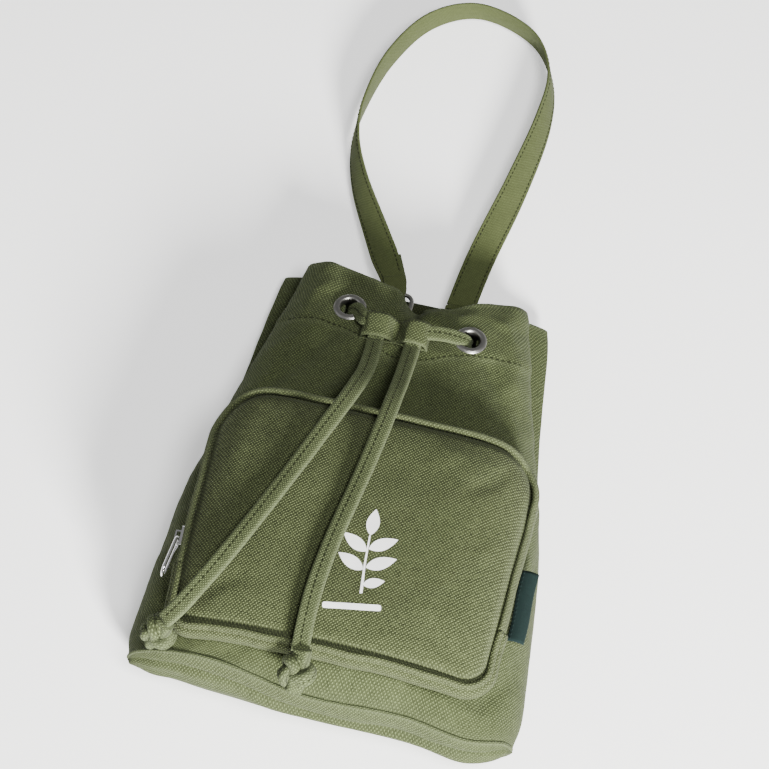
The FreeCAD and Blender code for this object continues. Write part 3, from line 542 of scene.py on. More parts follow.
def overhand(name, centre, way, size, roll, tail=3.0):
    """Overhand knot in the strip: it comes in along way and leaves as a short cut tail."""
    way = unit(way)
    side = unit(np.cross(way, (0, 0, 1)))
    up = np.cross(side, way)
    turn = math.radians(roll)
    side, up = side * math.cos(turn) + up * math.sin(turn), up * math.cos(turn) - side * math.sin(turn)
    t = np.linspace(0.22, 2 * math.pi - 0.22, 64)
    local = np.stack([np.sin(t) + 2 * np.sin(2 * t), np.cos(t) - 2 * np.cos(2 * t), -1.35 * np.sin(3 * t)], 1)
    local = np.concatenate([[(-5.2, -0.6, 0.2), (-3.4, -0.9, 0.1), (-1.6, -1.0, 0.0)], local,
                            [(1.8, -1.0, 0.0), (3.2, -0.8, 0.1), (3.2 + tail / size, -0.3, 0.3)]])
    local *= size
    local[:, 0] *= 0.92
    path = np.asarray(centre) + local[:, :1] * way + local[:, 1:2] * side + local[:, 2:] * up
    for _ in range(3):
        path[1:-1] = (path[:-2] + path[1:-1] * 2 + path[2:]) / 4.0
    path = resample(path, 0.9)
    tangents = tangents_of(path)
    normal = unit(np.cross(tangents[0], side))
    sides, normals = [], []
    for index, tangent in enumerate(tangents):
        outward = unit(path[index] - np.asarray(centre))
        normal = unit(normal * 0.75 + outward * 0.25 - tangent * tangent.dot(normal * 0.75 + outward * 0.25))
        normals.append(normal)
        sides.append(np.cross(tangent, normal))

    def section(share):
        squeeze = 1.0 - 0.14 * math.sin(math.pi * share) ** 2
        return section_flat(KNOT_STRIP[0] * squeeze, KNOT_STRIP[1], 0.5, 24, 0.62)
    made = swept(name, path, np.array(sides), np.array(normals), section, cord_cloth, cord_wear)
    line = path + np.array(normals) * 2.65
    sewn = stitches(name + "_stitching", line[3:-3], np.array(normals)[3:-3], thread_painted_shade, 2.9, 1.8, 0.3)
    return made, sewn


left_path, right_path = route_path("left_route", CORD_LEFT_ROUTE), route_path("right_route", CORD_RIGHT_ROUTE)
for side, path, centre, route, size, roll in (
        ("left", left_path, KNOT_LEFT, CORD_LEFT_ROUTE, 2.3, 20.0),
        ("right", right_path, KNOT_RIGHT, CORD_RIGHT_ROUTE, 2.4, -15.0)):
    body = "cord_end_" + side
    strip, sewn = cord_strip("drawcord_" + side, path, 9.0)
    ridden(strip, body, "drawcord_end_" + side)
    ridden(sewn, body)
    knot, knot_sewn = overhand("knot_" + side + "_tied", centre, np.array(centre) - np.array(route[-1]), size, roll)
    ridden(knot, body, "knot_" + side)
    ridden(knot_sewn, body)
    length = float(np.linalg.norm(np.diff(path, axis=0), axis=1).sum()) * MM


# ---------------------------------------------------------------- body surface
def along(y):
    return (y - BASE_Y) / BODY_LENGTH


def centre_x(y):
    return BODY_LEAN * (1.0 - along(y))


def back_half_width(y):
    return mix(BASE_HALF_WIDTH, MOUTH_HALF_WIDTH, along(y)) + SIDE_BULGE * np.sin(np.pi * np.clip(along(y), 0, 1))


def fold_share(y):
    return smooth((along(y) - 0.35) / 0.65)


def front_half_width(y):
    return back_half_width(y) - FRONT_TUCK * fold_share(y)


def crown(y):
    return mix(BASE_THICKNESS, MOUTH_THICKNESS, along(y) ** 2)


def roundness(y):
    share = smooth(along(y) / 0.3)
    return mix(2.3, 4.6, share), mix(1.9, 2.3, share)


def front_height(x, y):
    power_x, power_z = roundness(y)
    share = np.minimum(np.abs(x - centre_x(y)) / front_half_width(y), 0.93)
    return SEAM_HEIGHT + (crown(y) - SEAM_HEIGHT) * (1.0 - share ** power_x) ** (1.0 / power_z)


def front_points(y, c):
    power_x, power_z = roundness(y)
    share = np.sin(c * np.pi / 2.0)
    x = front_half_width(y) * share
    z = SEAM_HEIGHT + (crown(y) - SEAM_HEIGHT) * np.maximum(1.0 - np.abs(share) ** power_x, 0.0) ** (1.0 / power_z)
    x = x - SIDE_FOLD * fold_share(y) * hill(z - SEAM_HEIGHT, 6.0) * share
    near_mouth = smooth((along(y) - 0.72) / 0.28)
    z = z - PLEAT_DEPTH * near_mouth * hill(x - PLEAT_X, PLEAT_WIDTH)
    dip = MOUTH_DIP * hill(x, 34.0) * smooth((along(y) - 0.8) / 0.2)
    return np.stack([x + centre_x(y), y - dip, z], -1)


def back_points(y, c):
    share = np.sin(c * np.pi / 2.0)
    z = SEAM_HEIGHT - (SEAM_HEIGHT + 0.6) * np.maximum(1.0 - np.abs(share) ** 5.0, 0.0) ** 0.45
    z = np.maximum(z, 0.0)
    tuck = (FRONT_TUCK + SIDE_FOLD) * fold_share(y)
    x = back_half_width(y) * share - tuck * share * hill(SEAM_HEIGHT - z, 5.0)
    return np.stack([x + centre_x(y), y + 0.0 * x, z], -1)


EYELETS = {}
for side in ("left", "right"):
    low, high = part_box("eyelet_" + side)
    EYELETS[side] = np.array((low + high)[:]) / 2.0 / MM

FRONT_FOLDS = [
    (-34, 82, -62, 36, 5.0, -1.5), (-42, 84, -70, 58, 4.0, 0.9), (-12, 72, -25, 34, 5.0, 1.3),
    (-4, 74, -8, 34, 4.5, -1.9), (4, 72, 3, 38, 4.0, 0.9), (13, 72, 22, 34, 5.0, -1.3),
    (24, 78, 38, 40, 5.5, 1.1), (43, 80, 66, 34, 5.5, -1.7), (52, 104, 64, 62, 4.5, 1.0),
    (-50, 108, -62, 70, 4.5, 1.0), (-58, 60, -72, 10, 4.0, -1.2), (66, 60, 84, 6, 5.0, -1.3),
    (-13, 122, -7, 92, 4.5, 3.2), (16, 120, 12, 92, 5.0, 2.4), (2, 124, 1, 88, 3.2, -2.4),
    (-50, 122, -44, 100, 6.0, 1.6), (58, 120, 50, 100, 6.0, 1.4), (-92, 10, -84, -40, 4.0, -1.3),
    (-98, -50, -80, -104, 5.0, -1.6), (98, -20, 92, -70, 5.0, -1.2), (100, -76, 84, -112, 5.0, -1.4),
    (-50, -117, 30, -118, 3.0, -0.9), (40, -116, 92, -104, 3.5, -0.8)]
BACK_FOLDS = [(-50, 118, -66, 30, 6.0, 1.2), (50, 118, 64, 40, 6.0, 1.1), (-20, 116, -30, 60, 7.0, 0.8),
              (14, 116, 22, 70, 6.0, -0.7)]


def hem_line(x):
    """Height up the front of the row of stitches below the mouth."""
    return 78.5 - 14.5 * hill(x - 6.0, 26.0) + 0.5 * np.sin(x / 9.0)


def relief(points):
    """How far the gathered front stands above its smooth shape."""
    x, y = points[..., 0], points[..., 1]
    total = folds(x, y, FRONT_FOLDS) + 0.75 * soft_noise(x, y, 46.0, 4) + 0.28 * soft_noise(x, y, 15.0, 9)
    gathers = 0.8 * np.sin(x / 4.6 + 0.8 * np.sin(x / 17.0)) * smooth((y - 60.0) / 55.0)
    total = total + gathers * (0.55 + 0.45 * soft_noise(x, y, 60.0, 12))
    for spot in EYELETS.values():
        total = total * (1.0 - np.exp(-(np.hypot(x - spot[0], y - spot[1]) / 11.5) ** 4))
    above = y - hem_line(x)
    total = total + 0.45 * smooth(above / 0.8) - 0.55 * hill(above - 1.6, 0.9)
    return total


def raised(points, amount):
    normals = facing_normals(points)
    return points + normals * amount[..., None], normals


def settled(grid, front):
    """The body as it lies: rounded lower corners, and the front edges dropped at the base and mouth."""
    grid = grid.copy()
    x, y, z = grid[..., 0].copy(), grid[..., 1].copy(), grid[..., 2].copy()
    near_base = 1.0 - smooth((y - BASE_Y) / 18.0)
    grid[..., 1] -= near_base * (8.5 * hill(x - 84.0, 26.0) + 3.5 * hill(x - 5.0, 50.0))
    grid[..., 0] += near_base ** 2 * (3.5 * smooth((-x - 55.0) / 50.0) - 3.0 * smooth((x - 70.0) / 35.0))
    if front:
        edge = 1.0 - smooth((y - BASE_Y) / 8.0)
        lens = np.maximum(1.0 - (np.abs(x - 4.0) / 99.0) ** 2.4, 0.0) * mix(0.25, 1.0, smooth((x + 62.0) / 70.0))
        grid[..., 2] -= 13.0 * edge * lens
        grid[..., 1] -= 6.0 * edge * lens
        near_mouth = smooth((y - 94.0) / 26.0)
        grid[..., 1] -= near_mouth * (12.5 * hill(x - 14.0, 21.0) + 2.5 * hill(x - 46.0, 16.0))
        grid[..., 2] -= near_mouth * 3.0 * hill(x - 1.0, 5.0)
    else:
        wide = smooth((y - 20.0) / 90.0) * smooth((11.5 - z) / 6.0)
        grid[..., 0] += wide * (3.5 * smooth((x - 40.0) / 25.0) - 4.5 * smooth((-x - 40.0) / 25.0))
    return grid


rows = np.concatenate([np.linspace(BASE_Y, -106.0, 26), np.linspace(-106.0, MOUTH_Y, 140)[1:]])
stations = np.linspace(-1.0, 1.0, 221)
Y, C = np.meshgrid(rows, stations, indexing="ij")
edge_fade = smooth((1.0 - np.abs(C)) / 0.08) * smooth((Y - BASE_Y) / 4.0)
front_smooth = front_points(Y, C)
front_grid, front_normals = raised(settled(front_smooth, True), relief(front_smooth) * edge_fade)
front_wear = (0.35 * hill(1 - np.abs(C), 0.03) + 0.5 * hill(Y - BASE_Y, 2.5)
              + 0.5 * hill(MOUTH_Y - Y, 2.0)
              + 0.35 * hill(front_smooth[..., 1] - hem_line(front_smooth[..., 0]), 1.2))
hem_thick = np.where(Y > 80.0, 2.3, 1.5)
body_front = cloth_layer("body_front", front_grid, hem_thick, canvas, canvas_inside_painted_shade, front_wear)
# Holes under the eyelets, so that the inside of the bag shows dark through them.
holes = []
for spot in EYELETS.values():
    for polygon in body_front.data.polygons:
        at = polygon.center / MM
        if math.hypot(at.x - spot[0], at.y - spot[1]) < EYELET_CUT and at.z > 25:
            holes.append(polygon.index)
cut = bmesh.new()
cut.from_mesh(body_front.data)
cut.faces.ensure_lookup_table()
bmesh.ops.delete(cut, geom=[cut.faces[i] for i in holes], context="FACES")
cut.to_mesh(body_front.data)
cut.free()
ridden(body_front, "bag", "front_panel", "hem_facing_front")

back_smooth = back_points(Y, C)
wave = folds(back_smooth[..., 0], back_smooth[..., 1], BACK_FOLDS)
wave = wave + 0.4 * soft_noise(back_smooth[..., 0], back_smooth[..., 1], 40.0, 21)
rest_free = smooth((back_smooth[..., 2] - 0.5) / 4.0)
back_grid = settled(back_smooth, False)
side_push = np.sign(C) * wave * rest_free * smooth((1.0 - np.abs(C)) / 0.06)
back_grid[..., 0] += side_push
back_grid[..., 1] += 1.5 * np.cos(C * 4.0) * smooth((Y - 112.0) / 8.0)
back_wear = (0.4 * hill(1 - np.abs(C), 0.03) + 0.5 * hill(Y - BASE_Y, 2.5)
             + 0.5 * hill(MOUTH_Y - Y, 2.0))
body_back = cloth_layer("body_back", back_grid, np.where(Y > 78.0, 2.3, 1.5), canvas, canvas_inside_painted_shade, back_wear,
                        out=(0, 0, -1))
ridden(body_back, "bag", "back_panel", "hem_facing_back")

# Base: an oval panel that bellies out, with the soft crease it gets from standing.
shares = np.linspace(0.0, 1.0, 44)
top_edge, low_edge = front_grid[0], back_grid[0]
S, C2 = np.meshgrid(shares, stations, indexing="ij")
base_grid = top_edge[None] * (1 - S[..., None]) + low_edge[None] * S[..., None]
belly = np.sin(np.pi * S) ** 0.6 * (1.0 - np.abs(C2) ** 3.0)
crease = -3.6 * hill(S - 0.34 - 0.07 * np.sin(C2 * 4.2 + 0.8), 0.075) * (1 - C2 ** 4)
crease += 1.5 * hill(S - 0.55 + 0.06 * np.cos(C2 * 5.0), 0.12) * (1 - C2 ** 4)
ripple = soft_noise(C2 * 95.0, S * 45.0, 30.0, 31) * 0.9
base_grid[..., 1] -= 5.5 * belly + (crease + ripple) * np.sin(np.pi * S) ** 0.5 * smooth((1 - np.abs(C2)) / 0.1)
base_wear = 0.5 * (hill(S, 0.05) + hill(1 - S, 0.05)) + 0.25 * hill(S - 0.42, 0.05)
body_base = cloth_layer("body_base", base_grid, 1.5, canvas, None, base_wear, out=(0, -1, 0))
ridden(body_base, "bag", "base_panel")


def welt(name, line, normals, radius):
    """Narrow turned seam along an edge."""
    line, normals = np.asarray(line), np.asarray(normals)
    both = resample(np.concatenate([line, normals], 1), 2.0)
    line, normals = both[:, :3], unit(both[:, 3:])
    _, sides, ups = path_frames(line, normals)
    share = np.linspace(0, 400, len(line))
    size = radius * (1.0 + 0.14 * soft_noise(share, 0 * share, 22.0, 5))

    def section(t):
        r = size[int(round(t * (len(line) - 1)))]
        angles = np.linspace(0, 2 * math.pi, 13)[:-1]
        return np.stack([np.cos(angles) * r, np.sin(angles) * r * 0.85], 1)
    return swept(name, line, sides, ups, section, canvas, lambda o: 0.6 + 0 * o[:, 0])


inner = slice(4, -4)
ridden(welt("base_seam_front", front_grid[0][inner] + (0, 0.3, -0.2), front_normals[0][inner], 1.15), "bag")
back_seam = back_grid[0][inner] + (0, 0.2, 0.7)
back_seam[:, 2] = np.maximum(back_seam[:, 2], 0.95)
ridden(welt("base_seam_back", back_seam, np.tile((0.0, -1.0, -0.2), (len(back_seam), 1)), 0.9), "bag")
for side, column in (("left", 0), ("right", -1)):
    seam = (front_grid[:, column] + back_grid[:, column]) / 2.0
    seam[:, 0] -= math.copysign(0.25, seam[0, 0])
    outward = np.tile((-1.0 if side == "left" else 1.0, 0.0, 0.0), (len(seam), 1))
    ridden(welt("side_seam_" + side, seam[1:-1], outward[1:-1], 0.8), "bag")


def surface_sample(grid, normals, x, y):
    """Point and normal of the front where it passes over (x, y)."""
    distance = (grid[..., 0] - x) ** 2 + (grid[..., 1] - y) ** 2 + 1e3 * (grid[..., 2] < SEAM_HEIGHT + 1)
    nearest = np.argsort(distance.ravel())[:4]
    weight = 1.0 / (distance.ravel()[nearest] + 1e-3)
    weight = (weight / weight.sum())[:, None]
    return (grid.reshape(-1, 3)[nearest] * weight).sum(0), unit((normals.reshape(-1, 3)[nearest] * weight).sum(0))


skin = facing_normals(front_grid)
row_x = np.arange(-62.0, 67.0, 1.0)
hem_row = [surface_sample(front_grid, skin, x, hem_line(x) + 1.6) for x in row_x]
ridden(stitches("hem_stitching", [p for p, _ in hem_row], [n for _, n in hem_row], thread_painted_shade, 3.3, 2.2, 0.36, 0.05), "bag")


# ---------------------------------------------------------------- pocket
def rounded_outline(corners, step):
    """Closed points round the rounded outline, and the outward direction at each."""
    points, outwards = [], []
    count = len(corners)
    arcs = []
    for index, (x, y, radius) in enumerate(corners):
        here = np.array((x, y))
        before = unit(np.array(corners[index - 1][:2]) - here)
        after = unit(np.array(corners[(index + 1) % count][:2]) - here)
        half = math.acos(np.clip(before.dot(after), -1, 1)) / 2.0
        bisector = unit(before + after)
        centre = here + bisector * (radius / math.sin(half))
        arcs.append((centre, radius, here + before * radius / math.tan(half), here + after * radius / math.tan(half)))
    for index, (centre, radius, start, end) in enumerate(arcs):
        a0 = math.atan2(*(start - centre)[::-1])
        a1 = math.atan2(*(end - centre)[::-1])
        sweep = (a1 - a0 + math.pi) % (2 * math.pi) - math.pi
        for t in np.linspace(0, 1, max(int(radius * abs(sweep) / step), 3)):
            angle = a0 + sweep * t
            ray = np.array((math.cos(angle), math.sin(angle)))
            points.append(centre + ray * radius)
            outwards.append(ray)
        onward = arcs[(index + 1) % count][2]
        length = np.linalg.norm(onward - end)
        for t in np.linspace(0, 1, int(length / step) + 1)[1:-1]:
            points.append(end + (onward - end) * t)
            outwards.append(ray)
    return np.array(points), np.array(outwards)


outline, outwards = rounded_outline(POCKET_CORNERS, 1.6)
rim_waver = soft_noise(outline[:, 0], outline[:, 1], 34.0, 41)

POCKET_FOLDS = [
    (-70, 20, -48, -6, 4.0, -1.2), (-60, 32, -28, 18, 4.5, -0.9), (78, 14, 58, -12, 4.5, -1.2),
    (84, -10, 70, -50, 5.0, 0.9), (-74, -40, -58, -84, 5.0, -0.9), (-66, -104, -40, -84, 5.0, -1.2),
    (76, -106, 52, -86, 5.0, -1.3), (-20, 26, -26, 2, 5.0, 0.8), (30, 22, 46, 0, 6.0, 0.7),
    (-30, -108, 20, -102, 5.0, -0.9), (24, -104, 60, -108, 4.0, 0.8)]


def pocket_top(x, y, inset):
    """Height of the puffed pocket panel; inset is the distance from its outline."""
    (x0, y0), (x1, y1) = POCKET_CORNERS[3][:2], POCKET_CORNERS[1][:2]
    across, up = (2 * x - x0 - x1) / (x1 - x0), (2 * y - y0 - y1) / (y1 - y0)
    dome = np.maximum(1 - across ** 4, 0) * np.maximum(1 - up ** 4, 0)
    z = front_height(x, y) + POCKET_DEPTH + CANVAS - 0.4 + 3.5 * dome
    z = z - 3.4 * (1 - smooth((inset - 3.0) / 4.6)) - 1.0 * (1 - smooth((inset - 3.0) / 16.0))
    soft = smooth((inset - 5.5) / 12.0)
    puckers = 0.65 * soft_noise(x, y, 52.0, 51)
    return z + soft * (folds(x, y, POCKET_FOLDS) + puckers + 0.22 * soft_noise(x, y, 16.0, 52))


middle = np.array((4.0, -44.0))
rings, insets = [], [2.8, 3.2, 3.7, 4.4, 5.4, 6.8, 8.8, 11.4, 14.4]
for inset in insets:
    rings.append((outline - outwards * inset, np.full(len(outline), inset)))
last = rings[-1][0]
for t in np.linspace(0, 1, 34)[1:-1]:
    ring = last * (1 - t) + middle * t
    rings.append((ring, 14.4 + np.linalg.norm(last - ring, axis=1) * 0.7))
panel_grid = np.array([np.column_stack([r, pocket_top(r[:, 0], r[:, 1], i)]) for r, i in rings])
m = len(outline)
points = np.concatenate([panel_grid.reshape(-1, 3), panel_grid[0] - (0, 0, 1.4)])
faces = grid_faces(len(rings), m, close_columns=True)
faces.append(tuple(range((len(rings) - 1) * m, len(rings) * m)))
first_under = len(rings) * m
faces += [(k, first_under + k, first_under + (k + 1) % m, (k + 1) % m) for k in range(m)]
panel_wear = np.concatenate([0.75 * hill(np.concatenate([i for _, i in rings]) - 4.4, 1.0), np.zeros(m)])
pocket_panel = piece("pocket_panel", points, faces, points[:, :2], canvas_pocket, panel_wear)
ridden(pocket_panel, "bag", "pocket_front")


def one_run(keep):
    """Where keep holds round the outline, in one run that may pass the first point."""
    chosen = np.nonzero(keep)[0]
    gaps = np.nonzero(np.diff(chosen) > 1)[0]
    if len(gaps):
        chosen = np.concatenate([chosen[gaps[0] + 1:], chosen[:gaps[0] + 1]])
    return chosen


def rim_piece(name, section, keep, material, wear_at=None, waver=0.35):
    """Strip that runs round the pocket; section is (outward, height above the front panel)."""
    chosen = one_run(keep)
    closed = len(chosen) == len(outline)
    section = np.asarray(section, float)
    base = front_height(outline[chosen, 0], outline[chosen, 1])
    grid = []
    for k, height in zip(chosen, base):
        push = rim_waver[k] * waver
        xy = outline[k] + outwards[k] * (section[:, :1] + push)
        grid.append(np.column_stack([xy, height + section[:, 1] + push * 0.5]))
    grid = np.array(grid)
    uv = np.stack(np.meshgrid(run_length(section), np.arange(len(chosen)) * 1.6), -1)
    count = len(chosen)
    faces = grid_faces(count, len(section), closed, True)
    if not closed:
        faces += end_caps(len(section), count)
    worn = None
    if wear_at is not None:
        away = ((section[:, 1] - wear_at[1]) / 1.0) ** 2, ((section[:, 0] - wear_at[0]) / 1.3) ** 2
        worn = np.tile(np.exp(-away[0] - away[1]) * 0.8, count)
    return piece(name, grid.reshape(-1, 3), faces, uv.reshape(-1, 2), material, worn)


def fine(section, per=3):
    """Rounds a hand-made closed section."""
    section = np.asarray(section, float)
    for _ in range(per):
        ahead = np.roll(section, -1, 0)
        section = np.stack([section * 0.75 + ahead * 0.25, section * 0.25 + ahead * 0.75], 1).reshape(-1, 2)
        if len(section) > 60:
            break
    return section


zipped = outline[:, 1] > ZIP_END_Y
sewn_shut = outline[:, 1] <= ZIP_END_Y + 1.5
roll = [(-3.3, 12.0), (-3.3, 14.0), (-2.5, 15.3), (-1.0, 15.5), (0.3, 14.4), (0.7, 12.4), (0.5, 10.0), (-0.2, 8.2),
        (-1.0, 8.4), (-1.2, 11.0), (-2.2, 12.4)]
ridden(rim_piece("pocket_edge_roll", fine(roll, 2), zipped, canvas_pocket, (-1.0, 15.4)),
       "bag", "pocket_zip_strip_front")
back_roll = [(-1.1, 5.2), (-0.2, 5.0), (0.6, 4.0), (0.8, 2.2), (0.5, 0.4), (-0.4, -0.5), (-1.2, 0.4)]
ridden(rim_piece("pocket_back_roll", fine(back_roll, 2), zipped, canvas_pocket, (0.7, 3.6)),
       "bag", "pocket_zip_strip_back")
gusset = [(-3.3, 12.0), (-3.3, 14.0), (-2.5, 15.4), (-0.9, 15.5), (0.3, 14.2), (0.2, 12.6), (1.6, 11.8), (2.5, 9.6),
          (2.6, 6.8), (1.9, 3.6), (0.5, 1.0), (-0.8, -0.6), (-1.3, 3.0), (-1.0, 8.0), (-1.2, 10.6), (-2.2, 12.2)]
ridden(rim_piece("pocket_gusset_low", fine(gusset, 2), sewn_shut, canvas_pocket, (0.0, 15.8), 0.6),
       "bag", "pocket_lower_gusset")
for place, tape, nodes in (("front", [(-1.4, 7.7), (-0.9, 7.8), (-0.9, 10.6), (-1.4, 10.6)], ["zip_tapes"]),
                           ("back", [(-1.4, 2.6), (-0.9, 2.6), (-0.9, 5.5), (-1.4, 5.5)], [])):
    ridden(rim_piece("zip_tape_" + place, tape, zipped, tape_cloth, None, 0.2), "bag", *nodes)

# Zip coil: one small loop for each tooth, leaning along the chain.
chain = one_run(zipped)
chain_points = np.column_stack([outline[chain] - outwards[chain] * 0.95,
                                front_height(outline[chain, 0], outline[chain, 1]) + 6.6, outwards[chain]])
chain_points = resample(chain_points, 1.15)[4:-4]
teeth, teeth_faces, teeth_uv = [], [], []
for index in range(1, len(chain_points) - 1):
    centre, way = chain_points[index, :3], unit(chain_points[index + 1, :3] - chain_points[index - 1, :3])
    out = unit(np.append(chain_points[index, 3:5], 0.0))
    lean = 0.25 if index % 2 else -0.25
    start = len(teeth)
    for t in np.linspace(-1, 1, 7):
        spine = centre + np.array((0, 0, 1.25)) * t + out * (0.75 * math.sqrt(1 - 0.96 * t * t)) + way * lean * t
        for k in range(6):
            angle = math.pi * k / 3.0
            teeth.append(spine + way * 0.36 * math.cos(angle) + out * 0.36 * math.sin(angle))
            teeth_uv.append((k, t))
    teeth_faces += grid_faces(7, 6, close_columns=True, start=start)
ridden(piece("zip_teeth", teeth, teeth_faces, teeth_uv, coil_cloth, None), "bag", "zip_coil")


# ---------------------------------------------------------------- printed sprig and bar
def print_patch(name, loop):
    """Thin ink patch on the pocket, from a closed outline in the bag's plane."""
    loop = np.asarray(loop, float)
    centre = loop.mean(0)
    rings_here = [loop * t + centre * (1 - t) for t in (1.0, 0.75, 0.5, 0.25)]
    flat = np.concatenate(rings_here + [centre[None]])
    z = pocket_top(flat[:, 0], flat[:, 1], np.full(len(flat), 40.0)) + 0.16
    n = len(loop)
    faces = grid_faces(4, n, close_columns=True)
    faces += [(3 * n + k, 3 * n + (k + 1) % n, 4 * n) for k in range(n)]
    return ridden(piece(name, np.column_stack([flat, z]), faces, flat, print_ink, None), "bag")


def leaf(x, y, angle, length, width):
    t = np.linspace(0, 1, 15)
    half = width / 2.0 * np.sin(np.pi * t ** 0.85) ** 0.9
    upper, lower = np.column_stack([t * length, half]), np.column_stack([t * length, -half])[::-1]
    outline_here = np.concatenate([upper, lower[1:-1]])
    a = math.radians(angle)
    return outline_here @ np.array([[math.cos(a), math.sin(a)], [-math.sin(a), math.cos(a)]]) + (x, y)


for index, (x, y, angle, length, width) in enumerate((
        (14.5, -50.0, 92, 15.0, 6.6), (14.6, -59.0, 150, 15.5, 6.6), (15.4, -57.5, 32, 15.5, 6.6),
        (15.2, -69.0, 155, 15.5, 6.8), (16.2, -67.5, 28, 16.0, 6.8), (17.0, -77.0, 22, 11.0, 5.4))):
    print_patch("print_leaf_%d" % index, leaf(x, y, angle, length, width))
stem = np.array([(13.9, -50.0), (14.7, -50.0), (15.9, -66.0), (18.0, -81.5), (16.6, -82.0), (14.9, -66.0)])
print_patch("print_stem", np.concatenate([np.linspace(a, b, 6)[:-1] for a, b in zip(stem, np.roll(stem, -1, 0))]))
corners = [(0.5, -93.4, 1.0), (29.0, -88.8, 1.0), (28.4, -85.6, 1.0), (-0.1, -90.2, 1.0)]
print_patch("print_bar", rounded_outline(corners[::-1], 0.6)[0])


# ---------------------------------------------------------------- woven tab in the right seam
low, high = box_mm("label_tab")
u, v = np.linspace(0, 1, 14), np.linspace(0, 1, 26)
U, W = np.meshgrid(u, v)
tab = np.stack([low[0] - 0.6 + (high[0] - low[0] + 0.4) * U, mix(low[1], high[1], W) + 2.0,
                low[2] + 0.75 + 0.9 * np.sin(np.pi * U * 0.9) - 1.9 * U ** 2 + 0.35 * np.sin(W * 5.0 + U * 2.0)], -1)
tab[..., 0] += 0.35 * np.sin(W * 6.5)
tab = tab.transpose(1, 0, 2)
ridden(cloth_layer("woven_tab", tab, 0.9, label_cloth), "bag", "label_tab")
edge_line = tab[2] + (0, 0, 0.02)
ridden(stitches("woven_tab_stitching", edge_line, upright(len(edge_line)), label_cloth, 2.4, 1.6, 0.25),
       "bag")


# ---------------------------------------------------------------- eyelets
def seat_of(side):
    spot = EYELETS[side]
    normal = {"left": (-0.026, 0.168, 0.985), "right": (0.057, 0.160, 0.985)}[side]
    return np.array(spot), unit(normal)


for side in EYELETS:
    low, high = box_mm("eyelet_" + side)
    _, normal = seat_of(side)
    top = (low + high) / 2.0 + normal * 0.75
    flange = [(5.3, -3.6), (5.25, -0.6), (5.35, 0.3), (5.7, 0.85), (6.3, 1.15), (7.0, 1.2), (7.7, 1.1), (8.4, 0.75),
              (8.85, 0.25), (9.0, -0.25), (8.9, -0.6), (8.3, -0.6), (7.2, -0.3), (6.2, -0.5), (5.9, -1.4), (5.85, -3.6)]
    ring = lathe("eyelet_" + side + "_flange", fine(flange, 1), top, normal, nickel)
    ridden(ring, "bag", "eyelet_" + side)
    dress("eyelet_washer_" + side, nickel)


# ---------------------------------------------------------------- keeper and leads
def spline_through(stops, per=10):
    stops = np.asarray(stops, float)
    out = []
    for i in range(len(stops) - 1):
        p0, p1, p2, p3 = stops[max(i - 1, 0)], stops[i], stops[i + 1], stops[min(i + 2, len(stops) - 1)]
        for k in range(per):
            t = k / per
            out.append(0.5 * (2 * p1 + (p2 - p0) * t + (2 * p0 - 5 * p1 + 4 * p2 - p3) * t ** 2
                              + (3 * p1 - p0 - 3 * p2 + p3) * t ** 3))
    out.append(stops[-1])
    return np.array(out)


keeper_low, keeper_high = box_mm("cord_keeper")
kx0, kx1, ky0, ky1 = keeper_low[0], keeper_high[0], keeper_low[1], keeper_high[1]
keeper_profile = spline_through([
    (kx0 - 0.6, 42.6), (kx0 + 0.3, 45.4), (kx0 + 2.6, 48.5), (-12.0, 49.6), (-7.3, 48.9), (-5.0, 46.4), (-3.4, 44.3),
    (-1.6, 43.9), (0.2, 44.6), (2.0, 46.8), (3.8, 48.9), (8.0, 49.5), (kx1 - 2.6, 48.4), (kx1 - 0.3, 45.2),
    (kx1 + 0.5, 42.4)], 7)
cross = np.linspace(0, 1, 19)
keeper_grid = []
for x, z in keeper_profile:
    sag = 0.9 * hill(x + 2.0, 5.0)
    column = []
    for t in cross:
        tuck = 0.8 * math.sin(math.pi * t) * (1.0 if z > 46 else 0.3)
        column.append((x + 0.3 * math.sin(5 * t + x), mix(ky0 - 0.3, ky1 + 0.5, t) + sag * (0.5 - t) * 1.5,
                       z + 0.25 * tuck - 0.5 * (1 - t) * (z > 47) - 1.1 * (t > 0.93) - 0.5 * (t < 0.05)))
    keeper_grid.append(column)
keeper_grid = np.array(keeper_grid).transpose(1, 0, 2)
ends = hill(np.minimum(cross, 1 - cross), 0.06)[:, None] * np.ones(keeper_grid.shape[1])
